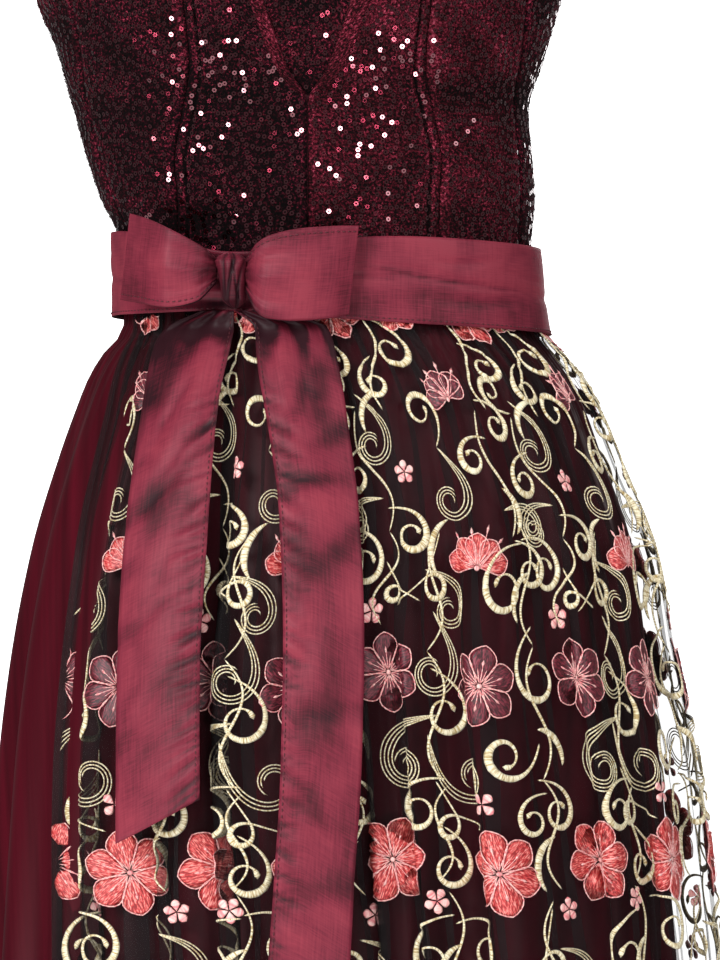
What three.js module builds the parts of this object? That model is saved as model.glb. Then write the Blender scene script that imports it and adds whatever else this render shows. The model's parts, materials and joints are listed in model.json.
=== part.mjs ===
// A woman's dirndl, filled out as if worn, with no wearer inside. The velvet bodice is cut in
// strips that run from the waist seam to the shoulder. The skirt is gathered to the waist seam,
// and an embroidered net apron hangs over it from a ribbon that is tied in a bow.
//
// Millimetres, +Z up. The front faces -Y, the wearer's left is +X. The origin lies midway between
// the shoulders, where the wearer carries the dress. "rise" is a height above the waist seam, and
// "turn" an angle round the body in degrees: 0 at centre front, 90 at the wearer's left, -90 at the
// right, 180 at centre back.
import * as THREE from "three";

// Driving sizes.
const SHOULDER_RISE = 400;
const ARM_RISE = 205;
const SKIRT_LENGTH = 700;
const APRON_LENGTH = 648;
const RIBBON_WIDTH = 55;
const SASH_CENTRE = 1.5;
const SASH_TILT = 0.0415;
const SEAM_GAP = 0.3;
const BODICE_WALL = 2;
const INSERT_WALL = 1.6;
const SKIRT_WALL = 1.5;
const APRON_WALL = 1;
const RIBBON_WALL = 1.2;

// How square the ovals round the body are: 2 is an ellipse.
const SQUARENESS = 2.15;

// The shoulder falls away from the neck.
const NECK_POINT_X = 80;
const SHOULDER_SLOPE = 0.33;

// Fullness over the bust, worked in by the curved front seams.
const CUP = { fullness: 13, across: 80, rise: 172, spreadAcross: 44, spreadUp: 52 };

// How far the bodice reaches from the centre at each rise. Above the arm the sides are open, and
// the figures only place the shoulder straps.
const BODICE = [
  { rise: 0, right: 120, left: 143, front: 91, back: 83 },
  { rise: 29, right: 123.5, left: 143.5, front: 92, back: 84 },
  { rise: 55, right: 135, left: 145, front: 95, back: 87 },
  { rise: 81, right: 144, left: 144, front: 99, back: 91 },
  { rise: 113, right: 153, left: 141.5, front: 105, back: 95 },
  { rise: 139, right: 160, left: 149, front: 110, back: 99 },
  { rise: 157, right: 166, left: 155, front: 112, back: 101 },
  { rise: 185, right: 177, left: 162, front: 113, back: 103 },
  { rise: 205, right: 179, left: 166, front: 112, back: 104 },
  { rise: 260, right: 176, left: 170, front: 104, back: 103 },
  { rise: 320, right: 174, left: 172, front: 92, back: 98 },
  { rise: 400, right: 172, left: 172, front: 84, back: 90 },
];

// Folds don't lie at even distances. Each drift moves them to and fro by "amount", in "waves" waves
// over the whole width.
const SKIRT_DRIFTS = [
  { amount: 1.1, waves: 3, start: 1 },
  { amount: 0.7, waves: 5, start: 2 },
];
const APRON_DRIFTS = [
  { amount: 1.9, waves: 2.3, start: 0.6 },
  { amount: 1.3, waves: 4.1, start: 2 },
];

// The skirt's crests. Its folds lie inside this outline.
const SKIRT = [
  { rise: 0, right: 119, left: 142, front: 90, back: 82 },
  { rise: -29, right: 121, left: 146, front: 92, back: 85 },
  { rise: -45, right: 134, left: 157, front: 99, back: 98 },
  { rise: -60, right: 143, left: 168, front: 107, back: 110 },
  { rise: -80, right: 151, left: 178, front: 115, back: 121 },
  { rise: -111, right: 162, left: 189, front: 127, back: 138 },
  { rise: -168, right: 179, left: 208, front: 145, back: 157 },
  { rise: -241, right: 193, left: 218, front: 160, back: 171 },
  { rise: -308, right: 201, left: 226, front: 169, back: 180 },
  { rise: -437, right: 210, left: 237, front: 181, back: 192 },
  { rise: -560, right: 218, left: 247, front: 190, back: 201 },
  { rise: -700, right: 227, left: 257, front: 198, back: 209 },
];
const SKIRT_FOLDS = 22;
const SKIRT_FOLD_COLUMNS = 5;
const SKIRT_DEPTH = [
  { rise: 0, fold: 0.5 },
  { rise: -30, fold: 1.0 },
  { rise: -80, fold: 2.2 },
  { rise: -200, fold: 4.5 },
  { rise: -437, fold: 8.5 },
  { rise: -700, fold: 13 },
];
const SKIRT_DEPTH_SPREAD = { mean: 0.72, swing: 0.28, waves: 4, start: 0.7 };
const SKIRT_ROWS = [-SKIRT_LENGTH, -560, -430, -310, -210, -130, -80, -45, -29, -0.5 * SEAM_GAP];

// How far the middle of the apron's folds stands off the skirt's crests, how far round each edge
// hangs, and how steeply the net turns in and out of a fold.
const APRON = [
  { rise: -14, right: 3.6, left: 3.6, front: 3.6, edgeRight: -67, edgeLeft: 112, steep: 14 },
  { rise: -29, right: 3.8, left: 3.8, front: 3.8, edgeRight: -65, edgeLeft: 112, steep: 17 },
  { rise: -45, right: 4.6, left: 5.4, front: 5, edgeRight: -60, edgeLeft: 112, steep: 24 },
  { rise: -66, right: 5.5, left: 6.4, front: 6, edgeRight: -57, edgeLeft: 112, steep: 28 },
  { rise: -96, right: 6.5, left: 7, front: 7, edgeRight: -54.5, edgeLeft: 112, steep: 31 },
  { rise: -142, right: 7.5, left: 8, front: 8, edgeRight: -53.5, edgeLeft: 112, steep: 36 },
  { rise: -220, right: 10, left: 11, front: 12, edgeRight: -51, edgeLeft: 112, steep: 50 },
  { rise: -307, right: 12, left: 18, front: 13.5, edgeRight: -49, edgeLeft: 112, steep: 57 },
  { rise: -437, right: 13, left: 22, front: 14, edgeRight: -45.5, edgeLeft: 111, steep: 59 },
  { rise: -648, right: 14, left: 24, front: 15, edgeRight: -42, edgeLeft: 109, steep: 60 },
];
const APRON_FOLDS = 13;
const APRON_FOLD_COLUMNS = 8;
// A fold rises steeply on the side that faces the right, and falls gently on the other.
const APRON_LEAN = { main: 0.95, sharpen: 0.27 };
const APRON_ROWS = [-APRON_LENGTH, -510, -390, -290, -205, -135, -85, -58, -42, -28, -14];

// The ribbon round the waist, over the bodice, the skirt and the top of the apron.
const SASH = [
  { rise: -40, right: 130, left: 161, front: 104, back: 98 },
  { rise: -29, right: 128, left: 154, front: 99.5, back: 93 },
  { rise: 0, right: 125.5, left: 149, front: 96.5, back: 88.5 },
  { rise: 34, right: 127.5, left: 148, front: 96, back: 88.5 },
];

// A cubic curve through a table's rows that never swings past them. The rows may rise or fall.
function smooth(table, key, column, at) {
  const rows = table[0][key] < table.at(-1)[key] ? table : [...table].reverse();
  const x = rows.map((row) => row[key]);
  const y = rows.map((row) => row[column]);
  const clamped = Math.min(Math.max(at, x[0]), x.at(-1));
  const i = Math.min(Math.max(x.findIndex((value) => value >= clamped), 1), x.length - 1) - 1;
  const pitch = (k) => (y[k + 1] - y[k]) / (x[k + 1] - x[k]);
  const slope = (k) => {
    if (k === 0) return pitch(0);
    if (k === x.length - 1) return pitch(k - 1);
    const [before, after] = [pitch(k - 1), pitch(k)];
    return before * after <= 0 ? 0 : (2 * before * after) / (before + after);
  };
  const span = x[i + 1] - x[i];
  const t = (clamped - x[i]) / span;
  const [t2, t3] = [t * t, t * t * t];
  return (
    y[i] * (2 * t3 - 3 * t2 + 1) +
    y[i + 1] * (3 * t2 - 2 * t3) +
    span * (slope(i) * (t3 - 2 * t2 + t) + slope(i + 1) * (t3 - t2))
  );
}

const radians = THREE.MathUtils.degToRad;
const bell = (distance, spread) => Math.exp(-((distance / spread) ** 2));
const mix = THREE.MathUtils.lerp;
const wave = (share, { waves, start }) => Math.sin(2 * Math.PI * waves * share + start);
const drift = (share, drifts) => drifts.reduce((sum, one) => sum + one.amount * wave(share, one), 0);

// A point on the oval of an outline, seen from above.
function oval(outline, turn, rise) {
  const sine = Math.sin(radians(turn));
  const cosine = Math.cos(radians(turn));
  const reach = smooth(outline, "rise", turn < 0 ? "right" : "left", rise);
  const depth = smooth(outline, "rise", cosine > 0 ? "front" : "back", rise);
  const x = Math.sign(sine) * reach * Math.abs(sine) ** (2 / SQUARENESS);
  const y = -Math.sign(cosine) * depth * Math.abs(cosine) ** (2 / SQUARENESS);
  return new THREE.Vector2(x, y);
}

// The oval's outward direction at a turn, from two points close by.
function ovalOut(outline, turn, rise) {
  const step = 0.5;
  const along = oval(outline, turn + step, rise).sub(oval(outline, turn - step, rise));
  return new THREE.Vector2(along.y, -along.x).normalize();
}

// The turn at which an outline has a given x on its front or its back.
function turnAt(outline, x, rise, isBack) {
  const reach = smooth(outline, "rise", x < 0 ? "right" : "left", rise);
  const share = Math.min(Math.abs(x) / reach, 1) ** (SQUARENESS / 2);
  const turn = THREE.MathUtils.radToDeg(Math.asin(share));
  return Math.sign(x) * (isBack ? 180 - turn : turn);
}

// The direction of a row of points at one of them, as exact at the ends as in the middle.
function tangent(pointOf, k, last) {
  const sum = (a, ka, b, kb, c, kc) =>
    pointOf(a).clone().multiplyScalar(ka).addScaledVector(pointOf(b), kb).addScaledVector(pointOf(c), kc);
  if (k === 0) return sum(0, -3, 1, 4, 2, -1);
  if (k === last) return sum(last, 3, last - 1, -4, last - 2, 1);
  return pointOf(k + 1).clone().sub(pointOf(k - 1));
}

// A closed wall from a grid of points on its outer face. Columns run to the wearer's left and rows
// run up, so that column direction times row direction points out. A ring has its last column
// joined to its first. "trim" may move a point of the inner face.
function wall(rows, columns, thickness, pointAt, { ring = false, trim = (point) => point } = {}) {
  const stride = ring ? columns : columns + 1;
  const at = (i, j) => i * stride + (ring ? (j + columns) % columns : j);
  const outer = [];
  for (let i = 0; i <= rows; i++)
    for (let j = 0; j < stride; j++) outer.push(pointAt(i / rows, j / columns));
  const inner = outer.map((point, index) => {
    const i = Math.floor(index / stride);
    const j = index % stride;
    const across = ring
      ? outer[at(i, j + 1)].clone().sub(outer[at(i, j - 1)])
      : tangent((k) => outer[at(i, k)], j, columns);
    const up = tangent((k) => outer[at(k, j)], i, rows);
    return trim(point.clone().addScaledVector(across.cross(up).normalize(), -thickness), i / rows);
  });
  const points = [...outer, ...inner];
  const inside = outer.length;
  const faces = [];
  const quad = (a, b, c, d) => faces.push(a, b, c, a, c, d);
  for (let i = 0; i < rows; i++)
    for (let j = 0; j < columns; j++) {
      const [a, b, c, d] = [at(i, j), at(i, j + 1), at(i + 1, j + 1), at(i + 1, j)];
      quad(a, b, c, d);
      quad(inside + a, inside + d, inside + c, inside + b);
    }
  for (let j = 0; j < columns; j++) {
    quad(at(0, j), inside + at(0, j), inside + at(0, j + 1), at(0, j + 1));
    quad(at(rows, j + 1), inside + at(rows, j + 1), inside + at(rows, j), at(rows, j));
  }
  for (let i = 0; i < rows && !ring; i++) {
    quad(at(i, 0), at(i + 1, 0), inside + at(i + 1, 0), inside + at(i, 0));
    quad(at(i, columns), inside + at(i, columns), inside + at(i + 1, columns), at(i + 1, columns));
  }
  return geometryOf(points, faces);
}

function geometryOf(points, faces) {
  const geometry = new THREE.BufferGeometry().setFromPoints(points);
  geometry.setIndex(faces);
  geometry.computeVertexNormals();
  return geometry;
}

// Materials.
const cloth = (color, roughness, extra = {}) =>
  new THREE.MeshStandardMaterial({ color, roughness, metalness: 0, side: THREE.DoubleSide, ...extra });
const VELVET = cloth("#4a0f20", 0.85);
const SATIN = cloth("#5a0f20", 0.45);
const TAFFETA = cloth("#a33a4c", 0.4);
const NET = cloth("#17110f", 0.8, { transparent: true, opacity: 0.55 });

const dirndl = new THREE.Group();
dirndl.position.z = -SHOULDER_RISE;

function add(name, geometry, material) {
  const mesh = new THREE.Mesh(geometry, material);
  mesh.name = name;
  dirndl.add(mesh);
}

// The bodice's outer face. Above the arm the straps arch over the shoulder, where front and back
// meet in a ridge.
function bodicePoint(turn, rise) {
  const flat = oval(BODICE, turn, rise);
  const isFront = Math.abs(turn) < 90;
  const cupAcross = bell(Math.abs(flat.x) - CUP.across, CUP.spreadAcross);
  const cup = CUP.fullness * cupAcross * bell(rise - CUP.rise, CUP.spreadUp);
  const cupped = flat.y - (isFront ? cup * Math.cos(radians(turn)) : 0);
  if (rise <= ARM_RISE) return new THREE.Vector3(flat.x, cupped, rise);
  const arch = radians((90 * (rise - ARM_RISE)) / (SHOULDER_RISE - ARM_RISE));
  const ridge = SHOULDER_RISE - SHOULDER_SLOPE * (Math.abs(flat.x) - NECK_POINT_X);
  const ridgeGap = (isFront ? -0.5 : 0.5) * SEAM_GAP;
  const y = cupped * Math.cos(arch) + ridgeGap;
  return new THREE.Vector3(flat.x, y, mix(ARM_RISE, ridge, Math.sin(arch)));
}

// Seams and edges of the bodice, for one side, and mirrored. "way" runs from 0 at the waist seam
// to 1 at the shoulder, and is 0.4 where the side strips end at the armholes.
const WAIST = 0.5 * SEAM_GAP;
const RISE_UP = [
  { way: 0, rise: WAIST },
  { way: 0.4, rise: 190 },
  { way: 0.6, rise: 226 },
  { way: 1, rise: SHOULDER_RISE },
];
const FRONT_EDGE = [
  { way: 0, x: 0, rise: WAIST },
  { way: 0.25, x: 0, rise: 108 },
  { way: 0.3, x: 11, rise: 127 },
  { way: 0.35, x: 22, rise: 156 },
  { way: 0.4, x: 33, rise: 190 },
  { way: 0.6, x: 46, rise: 226 },
  { way: 0.75, x: 62, rise: 290 },
  { way: 1, x: 83, rise: SHOULDER_RISE },
];
const FRONT_SEAM = [
  { rise: 0, x: 82 },
  { rise: 50, x: 82.5 },
  { rise: 72, x: 84 },
  { rise: 101, x: 79 },
  { rise: 130, x: 73.5 },
  { rise: 170, x: 77 },
  { rise: 260, x: 92 },
  { rise: 400, x: 104 },
];
const BACK_SEAM = [
  { rise: 0, x: 48 },
  { rise: 100, x: 60 },
  { rise: 205, x: 82 },
  { rise: 300, x: 98 },
  { rise: 400, x: 104 },
];
const BACK_EDGE = [
  { way: 0, x: 0, rise: WAIST },
  { way: 0.4, x: 0, rise: 190 },
  { way: 0.6, x: 0, rise: 232 },
  { way: 0.65, x: 0, rise: 257 },
  { way: 0.75, x: 31, rise: 262 },
  { way: 0.85, x: 65, rise: 284 },
  { way: 0.95, x: 80, rise: 345 },
  { way: 1, x: 83, rise: SHOULDER_RISE },
];
const SIDE_SEAM = [
  { way: 0, turn: 69, rise: WAIST },
  { way: 0.2, turn: 67, rise: 108 },
  { way: 0.33, turn: 58, rise: 182 },
  { way: 0.4, turn: 56, rise: 226 },
];
const SIDE_BACK_SEAM = [
  { way: 0, turn: 104, rise: WAIST },
  { way: 0.2, turn: 106, rise: 100 },
  { way: 0.4, turn: 112, rise: 213 },
];
const FRONT_ARMHOLE = [
  { way: 0.4, turn: 56, rise: 226 },
  { way: 0.5, turn: 51.5, rise: 247 },
  { way: 0.6, turn: 48.5, rise: 270 },
  { way: 0.75, turn: 46.5, rise: 314 },
  { way: 1, turn: 47.5, rise: SHOULDER_RISE },
];
const BACK_ARMHOLE = [
  { way: 0.4, turn: 112, rise: 213 },
  { way: 0.5, turn: 121, rise: 233 },
  { way: 0.6, turn: 127, rise: 258 },
  { way: 0.75, turn: 131, rise: 306 },
  { way: 1, turn: 132.5, rise: SHOULDER_RISE },
];
const ARMHOLE_WAY = 0.4;
const ARMHOLE_DIP = 16;

const turnEdge = (seam, armhole) => (way, side) => {
  const table = way > ARMHOLE_WAY ? armhole : seam;
  return { turn: side * smooth(table, "way", "turn", way), rise: smooth(table, "way", "rise", way) };
};
const centreEdge = (edge, isBack) => (way, side) => {
  const rise = smooth(edge, "way", "rise", way);
  const x = Math.max(smooth(edge, "way", "x", way), 1e-3);
  return { turn: turnAt(BODICE, side * x, rise, isBack), rise };
};
const curvedSeam = (seam, isBack) => (way, side) => {
  const rise = smooth(RISE_UP, "way", "rise", way);
  return { turn: turnAt(BODICE, side * smooth(seam, "rise", "x", rise), rise, isBack), rise };
};

const EDGES = {
  centreFront: centreEdge(FRONT_EDGE, false),
  frontSeam: curvedSeam(FRONT_SEAM, false),
  frontArm: turnEdge(SIDE_SEAM, FRONT_ARMHOLE),
  backArm: turnEdge(SIDE_BACK_SEAM, BACK_ARMHOLE),
  backSeam: curvedSeam(BACK_SEAM, true),
  centreBack: centreEdge(BACK_EDGE, true),
};
const BODICE_ROWS = 20;
const BODICE_STRIPS = [
  { name: "bodice_front", near: "centreFront", far: "frontSeam", columns: 5, top: 1, ridge: -1 },
  { name: "bodice_side_front", near: "frontSeam", far: "frontArm", columns: 5, top: 1, ridge: -1 },
  { name: "bodice_side", near: "frontArm", far: "backArm", columns: 6, top: ARMHOLE_WAY, ridge: 0 },
  { name: "bodice_side_back", near: "backArm", far: "backSeam", columns: 5, top: 1, ridge: 1 },
  { name: "bodice_back", near: "backSeam", far: "centreBack", columns: 4, top: 1, ridge: 1 },
];

// One strip of the bodice, on the wearer's right (side -1) or left (side 1), half a seam gap
// short of its neighbours. It ends at the shoulder ridge, in front (-1) or behind (1), or (0) at
// the armhole, which dips below it.
function bodiceStrip(strip, side) {
  const pointAt = (up, across) => {
    const way = up * strip.top;
    const share = side > 0 ? across : 1 - across;
    const near = EDGES[strip.near](way, side);
    const far = EDGES[strip.far](way, side);
    const dip = strip.ridge === 0 ? ARMHOLE_DIP * up ** 3 * Math.sin(Math.PI * share) : 0;
    const rise = mix(near.rise, far.rise, share) - dip;
    const reach = smooth(BODICE, "rise", side > 0 ? "left" : "right", rise);
    const gap = THREE.MathUtils.radToDeg(SEAM_GAP / reach);
    const inset = share === 0 ? gap : share === 1 ? -gap : 0;
    return bodicePoint(mix(near.turn, far.turn, share) + side * inset, rise);
  };
  const trim = (point, up) => {
    if (up === 1 && strip.ridge) point.y = strip.ridge * Math.max(strip.ridge * point.y, SEAM_GAP);
    return point;
  };
  return wall(Math.round(BODICE_ROWS * strip.top), strip.columns, BODICE_WALL, pointAt, { trim });
}
for (const strip of BODICE_STRIPS) {
  add(`${strip.name}_right`, bodiceStrip(strip, -1), VELVET);
  add(`${strip.name}_left`, bodiceStrip(strip, 1), VELVET);
}

// The V-shaped piece behind the neck edges. It lies inside the front strips and reaches a little
// past their edges, where it is stitched down.
const INSERT = { low: 113, high: 236, topDip: 5, depth: BODICE_WALL + 1, underlap: 9 };
const NECK_EDGE = FRONT_EDGE.slice(1);
function insertPoint(up, across) {
  const side = 2 * across - 1;
  const top = INSERT.high - INSERT.topDip * (1 - side * side);
  const rise = mix(INSERT.low, top, up);
  const half = smooth(NECK_EDGE, "rise", "x", rise) + INSERT.underlap;
  const point = bodicePoint(turnAt(BODICE, half * side || 1e-3, rise, false), rise);
  return point.add(new THREE.Vector3(0, INSERT.depth, 0));
}
add("bodice_insert", wall(7, 6, INSERT_WALL, insertPoint), VELVET);

// Folds run down from the gathers at uneven distances, each with a depth of its own.
function skirtPoint(turn, rise) {
  const share = turn / 360;
  const phase = 2 * Math.PI * SKIRT_FOLDS * share + drift(share, SKIRT_DRIFTS);
  const own = SKIRT_DEPTH_SPREAD.mean + SKIRT_DEPTH_SPREAD.swing * wave(share, SKIRT_DEPTH_SPREAD);
  const depth = smooth(SKIRT_DEPTH, "rise", "fold", rise) * own;
  const flat = oval(SKIRT, turn, rise);
  flat.addScaledVector(ovalOut(SKIRT, turn, rise), depth * (Math.cos(phase) - 1));
  return new THREE.Vector3(flat.x, flat.y, rise);
}
const HALF_TURN = 90;
const SKIRT_HALF_COLUMNS = (SKIRT_FOLDS / 2) * SKIRT_FOLD_COLUMNS;
function skirtHalf(middle) {
  const rows = SKIRT_ROWS.length - 1;
  return wall(rows, SKIRT_HALF_COLUMNS, SKIRT_WALL, (up, across) => {
    const gap = THREE.MathUtils.radToDeg((0.5 * SEAM_GAP) / SKIRT[0].right);
    const reach = HALF_TURN - gap;
    const turn = middle + mix(-reach, reach, across);
    return skirtPoint(turn > 180 ? turn - 360 : turn, SKIRT_ROWS[Math.round(up * rows)]);
  });
}
add("skirt_front", skirtHalf(0), SATIN);
add("skirt_back", skirtHalf(180), SATIN);

// The apron's folds, laid out flat first: how far along the waist and how far out each point of
// the width comes, as shares of the width, when the net turns by up to "steep" degrees.
const FOLD_STEPS = 1200;
function apronFolds(steep) {
  const lean = radians(steep);
  const direction = (s, bias) => {
    const phase = 2 * Math.PI * APRON_FOLDS * s + drift(s, APRON_DRIFTS);
    return bias + lean * (APRON_LEAN.main * Math.cos(phase) + APRON_LEAN.sharpen * Math.cos(2 * phase));
  };
  const run = (bias) => {
    const places = [{ along: 0, out: 0 }];
    for (let k = 0; k < FOLD_STEPS; k++) {
      const heading = direction((k + 0.5) / FOLD_STEPS, bias);
      const last = places[k];
      places.push({
        along: last.along + Math.cos(heading) / FOLD_STEPS,
        out: last.out + Math.sin(heading) / FOLD_STEPS,
      });
    }
    return places;
  };
  let [low, high] = [-1, 1];
  for (let pass = 0; pass < 30; pass++) {
    const middle = (low + high) / 2;
    if (run(middle).at(-1).out > 0) high = middle;
    else low = middle;
  }
  const places = run((low + high) / 2);
  const mean = places.reduce((sum, place) => sum + place.out, 0) / places.length;
  return places.map((place) => ({ along: place.along, out: place.out - mean }));
}

// The middle line of the apron's folds: the skirt's outline, and so far off it.
function apronMiddle(turn, rise) {
  const flat = oval(SKIRT, turn, rise);
  const side = Math.sin(radians(turn)) ** 2;
  const inFront = smooth(APRON, "rise", "front", rise);
  const atSide = smooth(APRON, "rise", turn < 0 ? "right" : "left", rise);
  return flat.addScaledVector(ovalOut(SKIRT, turn, rise), mix(inFront, atSide, side));
}

// One level of the apron: its folds set on the middle line, so that they run from edge to edge.
const OVAL_STEPS = 360;
function apronLevel(rise) {
  const from = smooth(APRON, "rise", "edgeRight", rise);
  const to = smooth(APRON, "rise", "edgeLeft", rise);
  const turns = Array.from({ length: OVAL_STEPS + 1 }, (_, k) => mix(from, to, k / OVAL_STEPS));
  const lengths = [0];
  for (let k = 1; k <= OVAL_STEPS; k++) {
    const step = apronMiddle(turns[k], rise).distanceTo(apronMiddle(turns[k - 1], rise));
    lengths.push(lengths[k - 1] + step);
  }
  const folds = apronFolds(smooth(APRON, "rise", "steep", rise));
  const width = lengths.at(-1) / folds.at(-1).along;
  const pointAt = (share) => {
    const place = folds[Math.round(share * FOLD_STEPS)];
    const along = Math.min(Math.max(place.along * width, 0), lengths.at(-1));
    const k = Math.min(Math.max(lengths.findIndex((value) => value >= along), 1), OVAL_STEPS);
    const turn = mix(turns[k - 1], turns[k], (along - lengths[k - 1]) / (lengths[k] - lengths[k - 1]));
    const flat = apronMiddle(turn, rise).addScaledVector(ovalOut(SKIRT, turn, rise), place.out * width);
    return new THREE.Vector3(flat.x, flat.y, rise);
  };
  return { rise, crest: width * Math.max(...folds.map((place) => place.out)), pointAt };
}
const apronLevels = APRON_ROWS.map(apronLevel);
function apronPoint(up, across) {
  return apronLevels[Math.round(up * (APRON_ROWS.length - 1))].pointAt(across);
}
const APRON_COLUMNS = APRON_FOLDS * APRON_FOLD_COLUMNS;
add("apron_panel", wall(APRON_ROWS.length - 1, APRON_COLUMNS, APRON_WALL, apronPoint), NET);

// The ribbon round the waist, one ring. A long soft crease crosses it beside the bow.
const SASH_CREASE = { depth: 1.6, x: 25, rise: 0, spreadAcross: 42, spreadUp: 5 };
const SASH_BELLY = 1.6;
function sashPoint(up, around) {
  const turn = 360 * around - 180;
  const level = (up - 0.5) * RIBBON_WIDTH + SASH_CENTRE;
  const rise = level - SASH_TILT * oval(SASH, turn, level).x;
  const flat = oval(SASH, turn, rise);
  const { depth, x, rise: creaseRise, spreadAcross, spreadUp } = SASH_CREASE;
  const inFront = Math.abs(turn) < 90 ? 1 : 0;
  const crease = inFront * depth * bell(flat.x - x, spreadAcross) * bell(level - creaseRise, spreadUp);
  const belly = SASH_BELLY * (1 - (2 * up - 1) ** 2);
  flat.addScaledVector(ovalOut(SASH, turn, rise), belly - crease + RIBBON_WALL);
  return new THREE.Vector3(flat.x, flat.y, rise);
}
add("sash", wall(6, 44, RIBBON_WALL, sashPoint, { ring: true }), TAFFETA);

// The bow, at the front on the wearer's right. Places in it are measured from the knot: "aside"
// to the wearer's left, "up", and "out" to the front.
const KNOT = { x: -47, y: -98.1, rise: -2 };
const bowPoint = (aside, out, up) => new THREE.Vector3(KNOT.x + aside, KNOT.y - out, KNOT.rise + up);

// Each loop from the knot (far 0) to its folded end (far 1): the ribbon's upper and lower edge,
// the middle of its two layers, and half the space between them.
const LOOPS = {
  bow_loop_right: {
    side: -1,
    shape: [
      { far: 0, aside: 10.4, high: 12, low: -6, out: 5.5, open: 3 },
      { far: 0.2, aside: 20, high: 21, low: -13, out: 11.5, open: 6 },
      { far: 0.5, aside: 38, high: 30, low: -17.5, out: 11, open: 8 },
      { far: 0.8, aside: 57, high: 38, low: -14.5, out: -3, open: 6 },
      { far: 1, aside: 68, high: 42, low: -11, out: -17, open: 1.6 },
    ],
  },
  bow_loop_left: {
    side: 1,
    shape: [
      { far: 0, aside: 10.1, high: 15, low: -8, out: 5.5, open: 3 },
      { far: 0.2, aside: 20, high: 26, low: -22, out: 13, open: 6.5 },
      { far: 0.5, aside: 40, high: 30, low: -26, out: 15, open: 8 },
      { far: 0.8, aside: 62, high: 32.5, low: -25, out: 13, open: 6 },
      { far: 1, aside: 75, high: 33.5, low: -22.5, out: 9.5, open: 1.6 },
    ],
  },
};
const LOOP_TILT = 0.11;
const LOOP_BEND = 0.55;
const LOOP_LAYER = 0.7;
const LOOP_EDGE_FALL = 0.35;
const LOOP_PLEATS = { count: 2, depth: 2.2, fade: 1.5 };

// A loop starts at the knot with its front layer, turns at the far end and comes back behind.
function loopPoint(loop, along, across) {
  const angle = mix(0.5, -0.5, along) * Math.PI;
  const far = Math.abs(Math.cos(angle)) ** LOOP_BEND;
  const layer = Math.sin(angle);
  const figure = (column) => smooth(loop.shape, "far", column, far);
  const up = mix(figure("low"), figure("high"), across);
  const fullness = 1 - LOOP_EDGE_FALL * (2 * across - 1) ** 2;
  const fade = (1 - far) ** LOOP_PLEATS.fade;
  const pleat = LOOP_PLEATS.depth * fade * Math.cos(2 * Math.PI * LOOP_PLEATS.count * across);
  const off = Math.sign(layer) * Math.abs(layer) ** LOOP_LAYER * figure("open") * fullness;
  const lean = LOOP_TILT * far * up;
  return bowPoint(loop.side * figure("aside") + lean, figure("out") + off + pleat * layer, up);
}
// Columns must run to the wearer's left along a loop's front layer.
for (const [name, loop] of Object.entries(LOOPS)) {
  const pointAt = (up, share) => loopPoint(loop, loop.side > 0 ? 1 - share : share, up);
  add(name, wall(5, 20, RIBBON_WALL, pointAt), TAFFETA);
}

// The knot: the ribbon wrapped once round the loops, narrow at the middle, with a slanting crease.
const KNOT_SHAPE = [
  { up: -19, across: 9.5, out: 6.5, aside: 3 },
  { up: -14, across: 10, out: 10, aside: 2.2 },
  { up: -5, across: 8.6, out: 12, aside: 0.6 },
  { up: 5, across: 8.4, out: 12, aside: -0.6 },
  { up: 13, across: 9, out: 10.5, aside: -1.6 },
  { up: 18, across: 9, out: 6.5, aside: -2 },
];
const KNOT_CREASE = { depth: 0.13, slant: 0.035, spread: 0.32 };
const KNOT_FORWARD = 3;
const KNOT_BACK_SHARE = 0.55;
const KNOT_ROWS = 9;
const KNOT_COLUMNS = 18;
function knotGeometry() {
  const points = [];
  for (let i = 0; i <= KNOT_ROWS; i++) {
    const up = mix(KNOT_SHAPE[0].up, KNOT_SHAPE.at(-1).up, i / KNOT_ROWS);
    const figure = (column) => smooth(KNOT_SHAPE, "up", column, up);
    for (let j = 0; j < KNOT_COLUMNS; j++) {
      const angle = (2 * Math.PI * j) / KNOT_COLUMNS;
      const [sideways, outwards] = [Math.cos(angle), -Math.sin(angle)];
      const line = bell(sideways + KNOT_CREASE.slant * up, KNOT_CREASE.spread);
      const crease = 1 - KNOT_CREASE.depth * line * Math.max(outwards, 0);
      const aside = figure("aside") + figure("across") * sideways * crease;
      const out = figure("out") * outwards * (outwards > 0 ? crease : KNOT_BACK_SHARE);
      points.push(bowPoint(aside, KNOT_FORWARD + out, up));
    }
  }
  const faces = [];
  for (let i = 0; i < KNOT_ROWS; i++)
    for (let j = 0; j < KNOT_COLUMNS; j++) {
      const k = (j + 1) % KNOT_COLUMNS;
      const [a, b] = [i * KNOT_COLUMNS + j, i * KNOT_COLUMNS + k];
      faces.push(a, b, b + KNOT_COLUMNS, a, b + KNOT_COLUMNS, a + KNOT_COLUMNS);
    }
  const last = KNOT_ROWS * KNOT_COLUMNS;
  for (let j = 1; j < KNOT_COLUMNS - 1; j++) {
    faces.push(0, j + 1, j);
    faces.push(last, last + j, last + j + 1);
  }
  return geometryOf(points, faces);
}
add("bow_knot", knotGeometry(), TAFFETA);

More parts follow.
